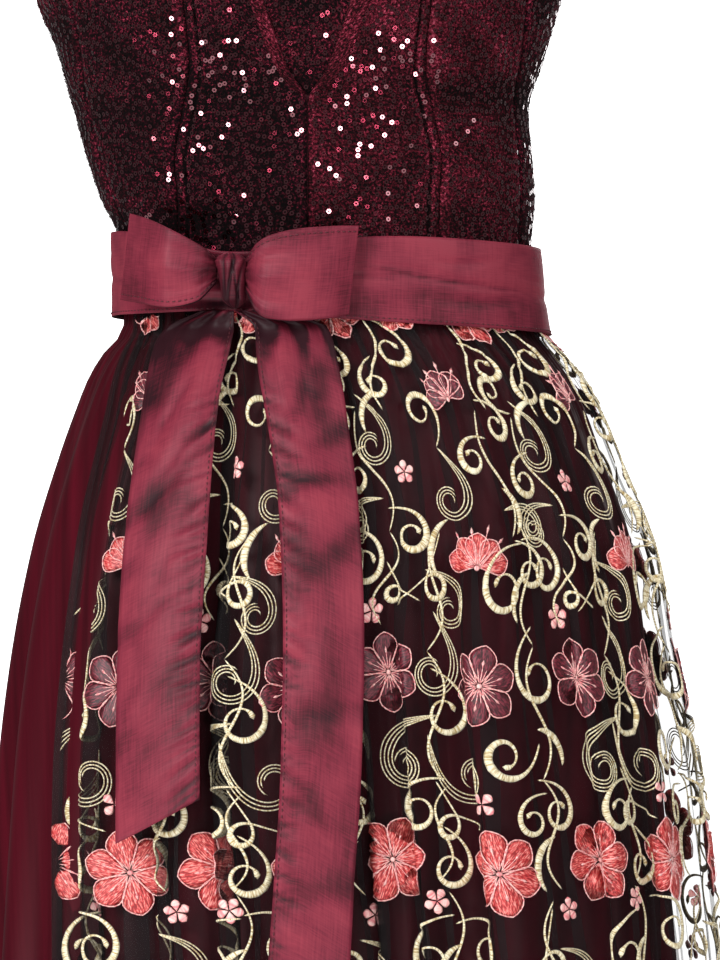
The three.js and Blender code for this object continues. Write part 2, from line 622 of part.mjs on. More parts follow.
// The two ends of the ribbon hang in front of the apron: the x of their edges, and how far they
// stand off the apron's crests. The cut at the bottom is slanted.
const TAIL_CURVE = 2.5;
const TAIL_RIPPLE = { depth: 1.2, waves: 1 / 132, twist: 3 };
const TAIL_CUT_SHARE = 0.25;
const TAIL_SMOOTH_TOP = 60;
const TAILS = {
  bow_tail_right: {
    slant: 28,
    shape: [
      { rise: -21.1, low: -66, high: -46, off: 4.5 },
      { rise: -31, low: -89, high: -46, off: 3.2 },
      { rise: -42, low: -96, high: -47.5, off: 4.6 },
      { rise: -80, low: -102, high: -54.5, off: 5.4 },
      { rise: -168, low: -111.5, high: -60, off: 4.4 },
      { rise: -240, low: -114, high: -63, off: 3 },
      { rise: -329, low: -113.5, high: -62.5, off: 3 },
    ],
  },
  bow_tail_left: {
    slant: -28,
    shape: [
      { rise: -21.1, low: -45, high: -26, off: 3.2 },
      { rise: -31, low: -33, high: 12, off: 2.8 },
      { rise: -52, low: -31, high: 18.5, off: 2.4 },
      { rise: -104, low: -22, high: 27, off: 2 },
      { rise: -146, low: -16.5, high: 32, off: 2 },
      { rise: -221, low: -13.5, high: 35, off: 2 },
      { rise: -293, low: -14.5, high: 33.5, off: 2 },
      { rise: -365, low: -18.5, high: 29, off: 2 },
      { rise: -470, low: -25, high: 23, off: 2 },
    ],
  },
};
const TAIL_ROWS = 20;
const TAIL_COLUMNS = 5;
function tailPoint(tail, up, across) {
  const [top, end] = [tail.shape[0].rise, tail.shape.at(-1).rise];
  const level = mix(end, top, up);
  const x = mix(smooth(tail.shape, "rise", "low", level), smooth(tail.shape, "rise", "high", level), across);
  const rise = level + Math.max(0, 1 - up / TAIL_CUT_SHARE) * tail.slant * (across - 0.5);
  const crest = smooth(apronLevels, "rise", "crest", rise);
  const below = Math.min(1, (top - level) / TAIL_SMOOTH_TOP);
  const { depth, waves, twist } = TAIL_RIPPLE;
  const ripple = depth * wave(rise, { waves, start: twist * across }) * (across - 0.5) * below;
  const curve = TAIL_CURVE * (1 - (2 * across - 1) ** 2) * below;
  const off = smooth(tail.shape, "rise", "off", level) + curve + ripple + RIBBON_WALL;
  const behind = apronMiddle(turnAt(SKIRT, x, rise, false), rise);
  return new THREE.Vector3(x, behind.y - crest - off, rise);
}
for (const [name, tail] of Object.entries(TAILS)) {
  const pointAt = (up, across) => tailPoint(tail, up, across);
  add(name, wall(TAIL_ROWS, TAIL_COLUMNS, RIBBON_WALL, pointAt), TAFFETA);
}

export default dirndl;
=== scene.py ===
"""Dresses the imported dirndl: velvet with sequins, satin, embroidered net and a taffeta ribbon.

Shapes are worked out in millimetres, the way the dress is measured. "rise" is a height above the
waist seam and "turn" an angle round the body in degrees: 0 at centre front, 90 at the wearer's
left, 180 at centre back. in_frame() turns them into the frame's metres.
"""

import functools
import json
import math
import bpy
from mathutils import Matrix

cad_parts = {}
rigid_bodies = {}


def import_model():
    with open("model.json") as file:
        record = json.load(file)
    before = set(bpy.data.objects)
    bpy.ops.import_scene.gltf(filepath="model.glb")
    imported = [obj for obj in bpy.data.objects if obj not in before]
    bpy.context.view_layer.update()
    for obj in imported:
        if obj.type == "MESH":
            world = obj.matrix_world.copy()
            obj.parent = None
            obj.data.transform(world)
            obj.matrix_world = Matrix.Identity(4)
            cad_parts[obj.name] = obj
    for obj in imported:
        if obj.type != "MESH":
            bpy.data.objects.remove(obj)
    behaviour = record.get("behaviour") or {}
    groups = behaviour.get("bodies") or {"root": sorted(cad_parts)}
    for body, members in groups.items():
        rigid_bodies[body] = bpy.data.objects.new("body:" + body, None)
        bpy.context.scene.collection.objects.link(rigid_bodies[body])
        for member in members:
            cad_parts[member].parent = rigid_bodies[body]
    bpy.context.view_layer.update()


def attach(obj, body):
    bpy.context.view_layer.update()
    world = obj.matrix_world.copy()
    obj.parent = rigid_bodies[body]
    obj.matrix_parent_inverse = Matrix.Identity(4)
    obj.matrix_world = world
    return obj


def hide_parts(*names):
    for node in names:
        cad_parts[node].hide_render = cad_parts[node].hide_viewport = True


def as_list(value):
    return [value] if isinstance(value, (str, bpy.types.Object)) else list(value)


bl_info = {
    "name": "Dirndl",
    "version": (1, 0, 0),
    "blender": (4, 5, 0),
    "location": "3D Viewport > Sidebar > Dirndl",
    "description": "Velvet, sequins, satin, embroidered net and ribbon for the packed dirndl",
    "category": "Add Mesh",
}

import bmesh
import bpy
import numpy as np
from mathutils import Vector

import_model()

# Driving sizes, in millimetres, as in the frame.
SHOULDER_RISE = 400
ARM_RISE = 205
SKIRT_LENGTH = 700
APRON_LENGTH = 648
RIBBON_WIDTH = 55
SASH_CENTRE = 1.5
SASH_TILT = 0.0415
SEAM_GAP = 0.3
SQUARENESS = 2.15
NECK_POINT_X = 80
SHOULDER_SLOPE = 0.33
CUP = {"fullness": 13, "across": 80, "rise": 172, "spread_across": 44, "spread_up": 52}

# The real thickness of each cloth, with its lining where it has one.
VELVET_WALL = 1.8
SATIN_WALL = 0.6
RIBBON_WALL = 0.5
BAND_WALL = 1.2
INSERT_WALL = 1.4

# How many faces each cloth has up and across.
GRIDS = {
    "skirt": (64, 220),
    "net": (108, 400),
    "tuck": (70, 3),
    "strip": (84, 26),
    "front strip": (84, 56),
    "insert": (48, 26),
    "sash": (26, 264),
    "loop": (30, 120),
    "tail": (150, 22),
}


def columns(names, *rows):
    """A table as one array for each named column, with its rows in order of the first."""
    ordered = sorted(rows)
    return {name: np.array([row[i] for row in ordered], float) for i, name in enumerate(names.split())}


def smooth(table, column, at):
    """A cubic curve through a table's rows that never swings past them."""
    x, y = next(iter(table.values())), table[column]
    at = np.clip(at, x[0], x[-1])
    i = np.clip(np.searchsorted(x, at), 1, len(x) - 1) - 1
    pitch = np.diff(y) / np.diff(x)
    before, after = pitch[:-1], pitch[1:]
    both = np.where(before * after > 0, before + after, 1)
    middle = np.where(before * after > 0, 2 * before * after / both, 0)
    slope = np.concatenate([pitch[:1], middle, pitch[-1:]])
    span = x[i + 1] - x[i]
    t = (at - x[i]) / span
    return (
        y[i] * (2 * t**3 - 3 * t**2 + 1)
        + y[i + 1] * (3 * t**2 - 2 * t**3)
        + span * (slope[i] * (t**3 - 2 * t**2 + t) + slope[i + 1] * (t**3 - t**2))
    )


BODICE = columns(
    "rise right left front back",
    (0, 120, 143, 91, 83),
    (29, 123.5, 143.5, 92, 84),
    (55, 135, 145, 95, 87),
    (81, 144, 144, 99, 91),
    (113, 153, 141.5, 105, 95),
    (139, 160, 149, 110, 99),
    (157, 166, 155, 112, 101),
    (185, 177, 162, 113, 103),
    (205, 179, 166, 112, 104),
    (260, 176, 170, 104, 103),
    (320, 174, 172, 92, 98),
    (400, 172, 172, 84, 90),
)
SKIRT = columns(
    "rise right left front back",
    (0, 119, 142, 90, 82),
    (-29, 121, 146, 92, 85),
    (-45, 134, 157, 99, 98),
    (-60, 143, 168, 107, 110),
    (-80, 151, 178, 115, 121),
    (-111, 162, 189, 127, 138),
    (-168, 179, 208, 145, 157),
    (-241, 193, 218, 160, 171),
    (-308, 201, 226, 169, 180),
    (-437, 210, 237, 181, 192),
    (-560, 218, 247, 190, 201),
    (-700, 227, 257, 198, 209),
)
SKIRT_FOLDS = 22
SKIRT_DEPTH = columns("rise fold", (0, 0.5), (-30, 1.0), (-80, 2.2), (-200, 4.5), (-437, 8.5), (-700, 13))
SKIRT_DRIFTS = ((1.1, 3, 1), (0.7, 5, 2))
SKIRT_GATHERS = {"count": 88, "depth": 0.7, "from": -30, "fade": 55}
APRON = columns(
    "rise right left front edge_right edge_left steep",
    (-14, 3.6, 3.6, 3.6, -67, 112, 14),
    (-29, 3.8, 3.8, 3.8, -65, 112, 17),
    (-45, 4.6, 5.4, 5, -60, 112, 24),
    (-66, 5.5, 6.4, 6, -57, 112, 28),
    (-96, 6.5, 7, 7, -54.5, 112, 31),
    (-142, 7.5, 8, 8, -53.5, 112, 36),
    (-220, 10, 11, 12, -51, 112, 50),
    (-307, 12, 18, 13.5, -49, 112, 57),
    (-437, 13, 22, 14, -45.5, 111, 59),
    (-648, 14, 24, 15, -42, 109, 60),
)
APRON_FOLDS = 13
APRON_DRIFTS = ((1.9, 2.3, 0.6), (1.3, 4.1, 2))
SASH = columns(
    "rise right left front back",
    (-40, 130, 161, 104, 98),
    (-29, 128, 154, 99.5, 93),
    (0, 125.5, 149, 96.5, 88.5),
    (34, 127.5, 148, 96, 88.5),
)


def wave(share, waves, start):
    return np.sin(2 * np.pi * waves * share + start)


def drift(share, drifts):
    """How far folds lie from even distances: amount, number of waves and start of each drift."""
    return sum(amount * wave(share, waves, start) for amount, waves, start in drifts)


def bell(distance, spread):
    return np.exp(-((distance / spread) ** 2))


def ease(share):
    share = np.clip(share, 0, 1)
    return share * share * (3 - 2 * share)


def mix(a, b, share):
    return a + (b - a) * share


def unit(vectors):
    return vectors / np.maximum(np.linalg.norm(vectors, axis=-1, keepdims=True), 1e-12)


def stack(*parts):
    return np.stack(np.broadcast_arrays(*parts), -1)


def oval(outline, turn, rise):
    """A point on the oval of an outline, seen from above."""
    sine, cosine = np.sin(np.radians(turn)), np.cos(np.radians(turn))
    reach = np.where(sine < 0, smooth(outline, "right", rise), smooth(outline, "left", rise))
    depth = np.where(cosine > 0, smooth(outline, "front", rise), smooth(outline, "back", rise))
    x = np.sign(sine) * reach * np.abs(sine) ** (2 / SQUARENESS)
    y = -np.sign(cosine) * depth * np.abs(cosine) ** (2 / SQUARENESS)
    return stack(x, y)


def oval_out(outline, turn, rise):
    along = oval(outline, turn + 0.5, rise) - oval(outline, turn - 0.5, rise)
    return unit(stack(along[..., 1], -along[..., 0]))


def turn_at(outline, x, rise, is_back=False):
    """The turn at which an outline has a given x on its front or its back."""
    reach = np.where(x < 0, smooth(outline, "right", rise), smooth(outline, "left", rise))
    share = np.minimum(np.abs(x) / reach, 1) ** (SQUARENESS / 2)
    turn = np.degrees(np.arcsin(share))
    return np.sign(x) * (180 - turn if is_back else turn)


def in_frame(points):
    return (points - np.array([0, 0, SHOULDER_RISE])) / 1000


# Cloth as a grid of points: rows run up, columns run to the wearer's left.


def grid(rows, cols):
    """Two arrays of shares, up and across, for a grid of so many faces."""
    return np.meshgrid(np.linspace(0, 1, rows + 1), np.linspace(0, 1, cols + 1), indexing="ij")


def normals(points, ring=False):
    across = np.gradient(points, axis=1)
    if ring:
        across[:, 0] = across[:, -1] = (points[:, 1] - points[:, -2]) / 2
    return unit(np.cross(across, np.gradient(points, axis=0)))


def lengths(points, axis):
    """How far along the cloth each point of a grid lies, measured on the surface."""
    steps = np.linalg.norm(np.diff(points, axis=axis), axis=-1)
    start = np.zeros_like(np.take(steps, [0], axis=axis))
    return np.concatenate([start, np.cumsum(steps, axis=axis)], axis=axis)


def hollows(points, reach=7):
    """How far each point of a grid lies below the smoothed cloth round it."""
    smoothed = points
    for axis in (0, 1):
        for _ in range(2):
            ends = [(0, 0)] * 3
            ends[axis] = (reach, reach)
            sums = np.cumsum(np.pad(smoothed, ends, mode="edge"), axis=axis)
            sums = np.concatenate([np.zeros_like(np.take(sums, [0], axis=axis)), sums], axis=axis)
            count = smoothed.shape[axis]
            high = np.take(sums, np.arange(2 * reach + 1, 2 * reach + 1 + count), axis=axis)
            smoothed = (high - np.take(sums, np.arange(count), axis=axis)) / (2 * reach + 1)
    return np.clip(((smoothed - points) * normals(points)).sum(-1), -1, 1.5)


def read_grid(table, i, j):
    """A grid of points or directions, read between its rows and columns."""
    i0 = np.clip(i.astype(int), 0, table.shape[0] - 2)
    j0 = np.clip(j.astype(int), 0, table.shape[1] - 2)
    a, b = (i - i0)[..., None], (j - j0)[..., None]
    low = table[i0, j0] * (1 - b) + table[i0, j0 + 1] * b
    high = table[i0 + 1, j0] * (1 - b) + table[i0 + 1, j0 + 1] * b
    return low * (1 - a) + high * a


def read_line(at, far, line):
    """The points of a line at these distances along it."""
    return np.stack([np.interp(at, far, line[:, k]) for k in range(3)], -1)


def object_of(name, bm, *finishes):
    """A smooth-shaded object of a bmesh, with these finishes."""
    for face in bm.faces:
        face.smooth = True
    mesh = bpy.data.meshes.new(name)
    bm.to_mesh(mesh)
    bm.free()
    for made in finishes:
        mesh.materials.append(made)
    piece = bpy.data.objects.new(name, mesh)
    bpy.context.scene.collection.objects.link(piece)
    return piece


FINISHES = {}
CLOTHS = {}


def cloth_object(name, points, wall, *finishes, ring=False, shade=0.0, reach=7):
    """A cloth piece from a grid of points in millimetres, with the named finishes for its outside
    and inside. Its attribute "cloth" holds the distance along and up the cloth, in millimetres, and
    the painted shade: how deep in a hollow a point lies plus the given shade, which darkens the colour."""
    CLOTHS[name] = points
    rows, cols = points.shape[0] - 1, points.shape[1] - 1
    u, v = lengths(points, 1), lengths(points, 0)
    # Painted shade: the finishes darken the colour by how deep a point lies in a hollow, plus the given
    # shade.
    deep = hollows(points, reach) + shade
    u = u - u[:, cols // 2 : cols // 2 + 1]
    placed = in_frame(points)
    bm = bmesh.new()
    bmesh.ops.create_grid(bm, x_segments=cols, y_segments=rows, size=1)
    cloth = bm.verts.layers.float_vector.new("cloth")
    for vert in bm.verts:
        j = round((vert.co.x + 1) / 2 * cols)
        i = round((vert.co.y + 1) / 2 * rows)
        vert.co = placed[i, j]
        vert[cloth] = (u[i, j], v[i, j], deep[i, j])
    if ring:
        bmesh.ops.remove_doubles(bm, verts=bm.verts, dist=1e-6)
    piece = object_of(name, bm, *(FINISHES[finish_name] for finish_name in finishes))
    if wall:
        shell = piece.modifiers.new("wall", "SOLIDIFY")
        shell.thickness = wall / 1000
        shell.offset = -1
        shell.material_offset = len(finishes) - 1
    return piece


def dress(piece, slot, *nodes):
    """The piece rides on the dress's one body and stands for these CAD nodes."""
    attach(piece, "root")
    if nodes:
        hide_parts(*nodes)
    return piece


def skirt_point(turn, rise):
    share = turn / 360
    phase = 2 * np.pi * SKIRT_FOLDS * share + drift(share, SKIRT_DRIFTS)
    own = 0.72 + 0.28 * wave(share, 4, 0.7)
    depth = smooth(SKIRT_DEPTH, "fold", rise) * own
    out = oval_out(SKIRT, turn, rise)
    fade = bell(np.minimum(rise - SKIRT_GATHERS["from"], 0), SKIRT_GATHERS["fade"])
    uneven = wave(share, SKIRT_GATHERS["count"], 2 * wave(share, 9, 0))
    gathers = SKIRT_GATHERS["depth"] * fade * (uneven - 1)
    flat = oval(SKIRT, turn, rise) + out * (depth * (np.cos(phase) - 1) + gathers)[..., None]
    return stack(flat[..., 0], flat[..., 1], rise)


def skirt_half(middle):
    up, across = grid(*GRIDS["skirt"])
    reach = 90 - np.degrees(0.5 * SEAM_GAP / SKIRT["right"][-1])
    turn = middle + mix(-reach, reach, across)
    turn = np.where(turn > 180, turn - 360, turn)
    rise = mix(-SKIRT_LENGTH, -0.5 * SEAM_GAP, up**0.8)
    return skirt_point(turn, rise)


FOLD_STEPS = 1200
OVAL_STEPS = 360
# From this share of its width on, the net stands away from the skirt and is nearly smooth.
SMOOTH_FROM = 0.8


def fold_profile(heading):
    """Folds laid out flat: how far along and how far out each step of the width comes, when the
    net runs at these headings, in radians. The bias brings its two edges level."""
    low, high = -1.0, 1.0
    for _ in range(30):
        bias = (low + high) / 2
        if np.sin(heading + bias).sum() > 0:
            high = bias
        else:
            low = bias
    steps = heading + bias
    along = np.concatenate([[0], np.cumsum(np.cos(steps))]) / FOLD_STEPS
    out = np.concatenate([[0], np.cumsum(np.sin(steps))]) / FOLD_STEPS
    return along, out - out.mean()


def fold_phase(share):
    return 2 * np.pi * APRON_FOLDS * share + drift(share, APRON_DRIFTS)


STEP_MIDDLES = (np.arange(FOLD_STEPS) + 0.5) / FOLD_STEPS
STEP_PHASES = fold_phase(STEP_MIDDLES)


def frame_folds(steep):
    """The folds as the frame has them."""
    rounded = 0.95 * np.cos(STEP_PHASES) + 0.27 * np.cos(2 * STEP_PHASES)
    return fold_profile(np.radians(steep) * rounded)


def net_folds(steep):
    """The same folds as the real net has them: the steep side is short, and in the deep folds it
    tips over backwards, so that three layers lie behind each other there."""
    uneven = 0.82 + 0.18 * wave(STEP_MIDDLES, 5.3, 1.2) + 0.1 * wave(STEP_MIDDLES, 8.7, 0.4)
    strength = uneven * (1 - 0.75 * ease((STEP_MIDDLES - SMOOTH_FROM) / 0.08))
    tip = np.radians(steep) * np.clip(2.4 + (steep - 24) / 26, 2.4, 3.4) * strength
    return fold_profile(tip * np.exp(4 * (np.cos(STEP_PHASES) - 1)))


def apron_middle(turn, rise):
    side = np.sin(np.radians(turn)) ** 2
    at_side = np.where(turn < 0, smooth(APRON, "right", rise), smooth(APRON, "left", rise))
    stand = mix(smooth(APRON, "front", rise), at_side, side)
    return oval(SKIRT, turn, rise) + oval_out(SKIRT, turn, rise) * stand[..., None]


def apron_level(rise, folds_of):
    """One level of the apron: a point for each fold step, the width of the cloth there, and how
    far its crests stand out."""
    edges = smooth(APRON, "edge_right", rise), smooth(APRON, "edge_left", rise)
    turns = mix(*edges, np.linspace(0, 1, OVAL_STEPS + 1))
    line = apron_middle(turns, np.full_like(turns, rise))
    far = lengths(line, 0)
    along, out = folds_of(float(smooth(APRON, "steep", rise)))
    width = far[-1] / along[-1]
    turn = np.interp(np.clip(along * width, 0, far[-1]), far, turns)
    rises = np.full_like(turn, rise)
    flat = apron_middle(turn, rises) + oval_out(SKIRT, turn, rises) * (out * width)[:, None]
    return stack(flat[:, 0], flat[:, 1], rises), width, width * out.max()


LEVEL_STEP = 4
TOP_RISE = -14
LEVELS = np.linspace(-APRON_LENGTH, TOP_RISE, round((APRON_LENGTH + TOP_RISE) / LEVEL_STEP) + 1)
NET_LEVELS = [apron_level(rise, net_folds) for rise in LEVELS]
NET_WIDTHS = np.array([width for _, width, _ in NET_LEVELS])
FRAME_CRESTS = np.array([apron_level(rise, frame_folds)[2] for rise in LEVELS])


NET_GATHERS = {"depth": 0.55, "from": -34, "fade": 62, "count": 61, "fine_count": 103}


def net_table():
    """The outer face of the net: a point for each level and fold step, with the fine gathers that
    fade out below the ribbon."""
    points = np.stack([level for level, _, _ in NET_LEVELS])
    share = np.linspace(0, 1, FOLD_STEPS + 1)
    fade = bell(np.minimum(LEVELS - NET_GATHERS["from"], 0), NET_GATHERS["fade"])[:, None]
    coarse = wave(share, NET_GATHERS["count"], 2.5 * wave(share, 7, 0))
    gathers = coarse + 0.5 * wave(share, NET_GATHERS["fine_count"], 1)
    return points + normals(points) * (NET_GATHERS["depth"] * fade * gathers)[..., None]


NET = net_table()
NET_OUT = normals(NET)


def on_net(share, rise, height=0.0):
    """The place on the net at a share of its width and a rise, so far off its outer face."""
    i = np.clip((rise - LEVELS[0]) / (LEVELS[1] - LEVELS[0]), 0, len(LEVELS) - 1.001)
    j = np.clip(share * FOLD_STEPS, 0, FOLD_STEPS - 0.001)
    return read_grid(NET, i, j) + unit(read_grid(NET_OUT, i, j)) * np.asarray(height)[..., None]


HEM_WIDTH = 18
HEM_HEIGHT = -0.5
# The net's turned-in edges: their rises, their shares of its width and their faces up and across.
APRON_HEMS = (
    ("apron_hem_low", (-APRON_LENGTH, HEM_WIDTH - APRON_LENGTH), (0, 1), 3, 400),
    ("apron_hem_right", (-APRON_LENGTH, TOP_RISE), (0, 0.009), 108, 3),
    ("apron_hem_left", (-APRON_LENGTH, TOP_RISE), (0.991, 1), 108, 3),
)


NET_TUCKS = {"count": 25, "narrow": 0.003, "wide": 0.017, "height": -1.2, "low": 8}


def net_tucks():
    """Where the net folds over itself: narrow strips behind it, from the ribbon to the hem."""
    draw = np.random.default_rng(5)
    tucks = []
    for k in range(NET_TUCKS["count"]):
        up, across = grid(*GRIDS["tuck"])
        first = SMOOTH_FROM * (k + draw.uniform(0.15, 0.7)) / NET_TUCKS["count"]
        wide = draw.uniform(NET_TUCKS["narrow"], NET_TUCKS["wide"])
        rise = mix(NET_TUCKS["low"] - APRON_LENGTH, TOP_RISE, up)
        edge = first + 0.0022 * wave(rise, 1 / 190, draw.uniform(0, 6))
        breadth = wide * (0.8 + 0.35 * wave(rise, 1 / 260, draw.uniform(0, 6)))
        share = np.clip(edge + breadth * across, 0.001, 0.999)
        tucks.append(on_net(share, rise, np.full_like(rise, NET_TUCKS["height"])))
    return tucks


def apron_points():
    up, across = grid(*GRIDS["net"])
    return on_net(across, mix(-APRON_LENGTH, TOP_RISE, up), np.zeros_like(up))


ARMHOLE_WAY = 0.4
ARMHOLE_DIP = 16
WAIST = 0.5 * SEAM_GAP
RISE_UP = columns("way rise", (0, WAIST), (0.4, 190), (0.6, 226), (1, SHOULDER_RISE))
FRONT_EDGE = columns(
    "way x rise",
    (0, 0, WAIST),
    (0.25, 0, 108),
    (0.3, 11, 127),
    (0.35, 22, 156),
    (0.4, 33, 190),
    (0.6, 46, 226),
    (0.75, 62, 290),
    (1, 83, SHOULDER_RISE),
)
FRONT_SEAM = columns(
    "rise x", (0, 82), (50, 82.5), (72, 84), (101, 79), (130, 73.5), (170, 77), (260, 92), (400, 104)
)
BACK_SEAM = columns("rise x", (0, 48), (100, 60), (205, 82), (300, 98), (400, 104))
BACK_EDGE = columns(
    "way x rise",
    (0, 0, WAIST),
    (0.4, 0, 190),
    (0.6, 0, 232),
    (0.65, 0, 257),
    (0.75, 31, 262),
    (0.85, 65, 284),
    (0.95, 80, 345),
    (1, 83, SHOULDER_RISE),
)
SIDE_SEAM = columns("way turn rise", (0, 69, WAIST), (0.2, 67, 108), (0.33, 58, 182), (0.4, 56, 226))
SIDE_BACK_SEAM = columns("way turn rise", (0, 104, WAIST), (0.2, 106, 100), (0.4, 112, 213))
FRONT_ARMHOLE = columns(
    "way turn rise", (0.4, 56, 226), (0.5, 51.5, 247), (0.6, 48.5, 270), (0.75, 46.5, 314), (1, 47.5, 400)
)
BACK_ARMHOLE = columns(
    "way turn rise", (0.4, 112, 213), (0.5, 121, 233), (0.6, 127, 258), (0.75, 131, 306), (1, 132.5, 400)
)


def turn_edge(seam, armhole):
    def edge(way, side):
        above = way > ARMHOLE_WAY
        turn = np.where(above, smooth(armhole, "turn", way), smooth(seam, "turn", way))
        rise = np.where(above, smooth(armhole, "rise", way), smooth(seam, "rise", way))
        return side * turn, rise

    return edge


def centre_edge(table, is_back):
    def edge(way, side):
        rise = smooth(table, "rise", way)
        x = np.maximum(smooth(table, "x", way), 1e-3)
        return turn_at(BODICE, side * x, rise, is_back), rise

    return edge


def curved_seam(table, is_back):
    def edge(way, side):
        rise = smooth(RISE_UP, "rise", way)
        return turn_at(BODICE, side * smooth(table, "x", rise), rise, is_back), rise

    return edge


EDGES = {
    "centre_front": centre_edge(FRONT_EDGE, False),
    "front_seam": curved_seam(FRONT_SEAM, False),
    "front_arm": turn_edge(SIDE_SEAM, FRONT_ARMHOLE),
    "back_arm": turn_edge(SIDE_BACK_SEAM, BACK_ARMHOLE),
    "back_seam": curved_seam(BACK_SEAM, True),
    "centre_back": centre_edge(BACK_EDGE, True),
}
# Each strip of the bodice: its name, its edges, how far up it goes and on which side of the
# shoulder ridge it ends (in front -1, behind 1, or 0 at the armhole).
STRIPS = (
    ("bodice_front", "centre_front", "front_seam", 1, -1),
    ("bodice_side_front", "front_seam", "front_arm", 1, -1),
    ("bodice_side", "front_arm", "back_arm", ARMHOLE_WAY, 0),
    ("bodice_side_back", "back_arm", "back_seam", 1, 1),
    ("bodice_back", "back_seam", "centre_back", 1, 1),
)
SIDES = {"right": -1, "left": 1}


def bodice_point(turn, rise):
    flat = oval(BODICE, turn, rise)
    is_front = np.abs(turn) < 90
    cup = CUP["fullness"] * bell(np.abs(flat[..., 0]) - CUP["across"], CUP["spread_across"])
    cup = cup * bell(rise - CUP["rise"], CUP["spread_up"]) * np.cos(np.radians(turn))
    cupped = flat[..., 1] - np.where(is_front, cup, 0)
    arch = np.radians(90 * np.clip(rise - ARM_RISE, 0, None) / (SHOULDER_RISE - ARM_RISE))
    ridge = SHOULDER_RISE - SHOULDER_SLOPE * (np.abs(flat[..., 0]) - NECK_POINT_X)
    above = rise > ARM_RISE
    ridge_gap = np.where(is_front, -0.5, 0.5) * SEAM_GAP * above
    y = cupped * np.cos(arch) + ridge_gap
    return stack(flat[..., 0], y, np.where(above, mix(ARM_RISE, ridge, np.sin(arch)), rise))


def strip_points(near, far, top, ridge, side):
    rows, cols = GRIDS["front strip" if near == "centre_front" else "strip"]
    up, across = grid(round(rows * top), cols)
    way = up * top
    share = across if side > 0 else 1 - across
    near_turn, near_rise = EDGES[near](way, side)
    far_turn, far_rise = EDGES[far](way, side)
    dip = ARMHOLE_DIP * up**3 * np.sin(np.pi * share) if ridge == 0 else 0
    rise = mix(near_rise, far_rise, share) - dip
    reach = smooth(BODICE, "left" if side > 0 else "right", rise)
    gap = np.degrees(SEAM_GAP / reach)
    inset = np.where(share == 0, gap, 0) - np.where(share == 1, gap, 0)
    return bodice_point(mix(near_turn, far_turn, share) + side * inset, rise)


def across_from_edges(points):
    """How far each point of a grid lies from its first and from its last column."""
    arc = lengths(points, 1)
    return arc, arc[:, -1:] - arc


def soft_noise(points, size, seed):
    """Smooth noise between about -1 and 1, with humps of this size in millimetres."""
    draw = np.random.default_rng(seed)
    count = 14
    ways = unit(draw.normal(size=(count, 3))) * (2 * np.pi / size) * draw.uniform(0.6, 1.4, (count, 1))
    starts = draw.uniform(0, 2 * np.pi, count)
    return np.cos(points @ ways.T + starts).sum(-1) / 3.7


SEAM_ROLL = {"depth": 1.1, "spread": 2.0}
VELVET_PUFF = {"depth": 0.5, "size": 45, "seed": 3, "seam_spread": 6}
PRINCESS_TUCK = {"from_seam": 7, "depth": 2.2, "spread": 1.1}
NECK_BAND = {"right": 11, "left": 14, "lift": 1.4, "low": 110}


def velvet_strip(name, near, far, top, ridge, side):
    """One strip of the bodice, its edges turned in where it is sewn or hemmed."""
    points = strip_points(near, far, top, ridge, side)
    first, last = across_from_edges(points)
    roll = SEAM_ROLL["depth"] * (bell(first, SEAM_ROLL["spread"]) + bell(last, SEAM_ROLL["spread"]))
    puff = VELVET_PUFF["depth"] * soft_noise(points, VELVET_PUFF["size"], VELVET_PUFF["seed"])
    puff = puff * (1 - bell(np.minimum(first, last), VELVET_PUFF["seam_spread"]))
    if name == "bodice_front":
        from_seam = last if side > 0 else first
        tuck = PRINCESS_TUCK
        roll = roll + tuck["depth"] * bell(from_seam - tuck["from_seam"], tuck["spread"])
    return points - normals(points) * (roll - puff)[..., None]


def neck_band(front, which):
    """A strip of velvet sewn along the V neck, over the edge of the front strip."""
    side = SIDES[which]
    rows = np.flatnonzero(front[:, 0 if side > 0 else -1, 2] > NECK_BAND["low"])
    part = front[rows] if side > 0 else front[rows][:, ::-1]
    out = normals(part) * side
    far = lengths(part, 1)
    at = np.linspace(0, NECK_BAND[which], 11)
    sunk = SEAM_ROLL["depth"] * (bell(at, 1.2) + bell(at - NECK_BAND[which], 1.2))
    lifted = part + out * NECK_BAND["lift"]
    band = np.array([read_line(at, f, row) for f, row in zip(far, lifted)])
    band = band - np.array([read_line(at, f, row) for f, row in zip(far, out)]) * sunk[:, None]
    return band if side > 0 else band[:, ::-1]


TAPE_HALF = 5.5
# Two strips are sewn together where their edges are nearer to each other than this.
SEWN_WITHIN = 4


def sewn_edges():
    """Where each strip of the bodice is sewn to the next: both names and the columns that meet."""
    pairs = [("front_right", -1, "front_left", 0), ("back_right", 0, "back_left", -1)]
    for word, side in SIDES.items():
        near = 0 if side > 0 else -1
        for (name, *_), (next_name, *_) in zip(STRIPS, STRIPS[1:]):
            pairs.append((f"{name[7:]}_{word}", -1 - near, f"{next_name[7:]}_{word}", near))
    return pairs


def seam_tape(line, out, within, behind):
    """A tape sewn behind a seam, from the points along it and a line of points beside it."""
    across = unit(line - within)[:, None] * np.linspace(-TAPE_HALF, TAPE_HALF, 5)[:, None]
    tape = line[:, None] + across - out[:, None] * behind
    return tape if (normals(tape) * out[:, None]).sum() > 0 else tape[:, ::-1]


def bodice_tapes():
    tapes = []
    for name, at, next_name, next_at in sewn_edges():
        points, met = CLOTHS[f"velvet_{name}"], CLOTHS[f"velvet_{next_name}"][:, next_at]
        line = points[:, at]
        apart = np.linalg.norm(line[:, None] - met[None], axis=-1).min(1)
        rows = np.flatnonzero(apart < SEWN_WITHIN)
        beside = points[:, 1 if at == 0 else -2]
        tapes.append(seam_tape(line[rows], normals(points)[rows, at], beside[rows], VELVET_WALL + 0.3))
    for word in SIDES:
        for name in ("front", "side_front"):
            points = CLOTHS[f"velvet_{name}_{word}"]
            tapes.append(seam_tape(points[-1], normals(points)[-1], points[-2], VELVET_WALL + 0.3))
    return tapes


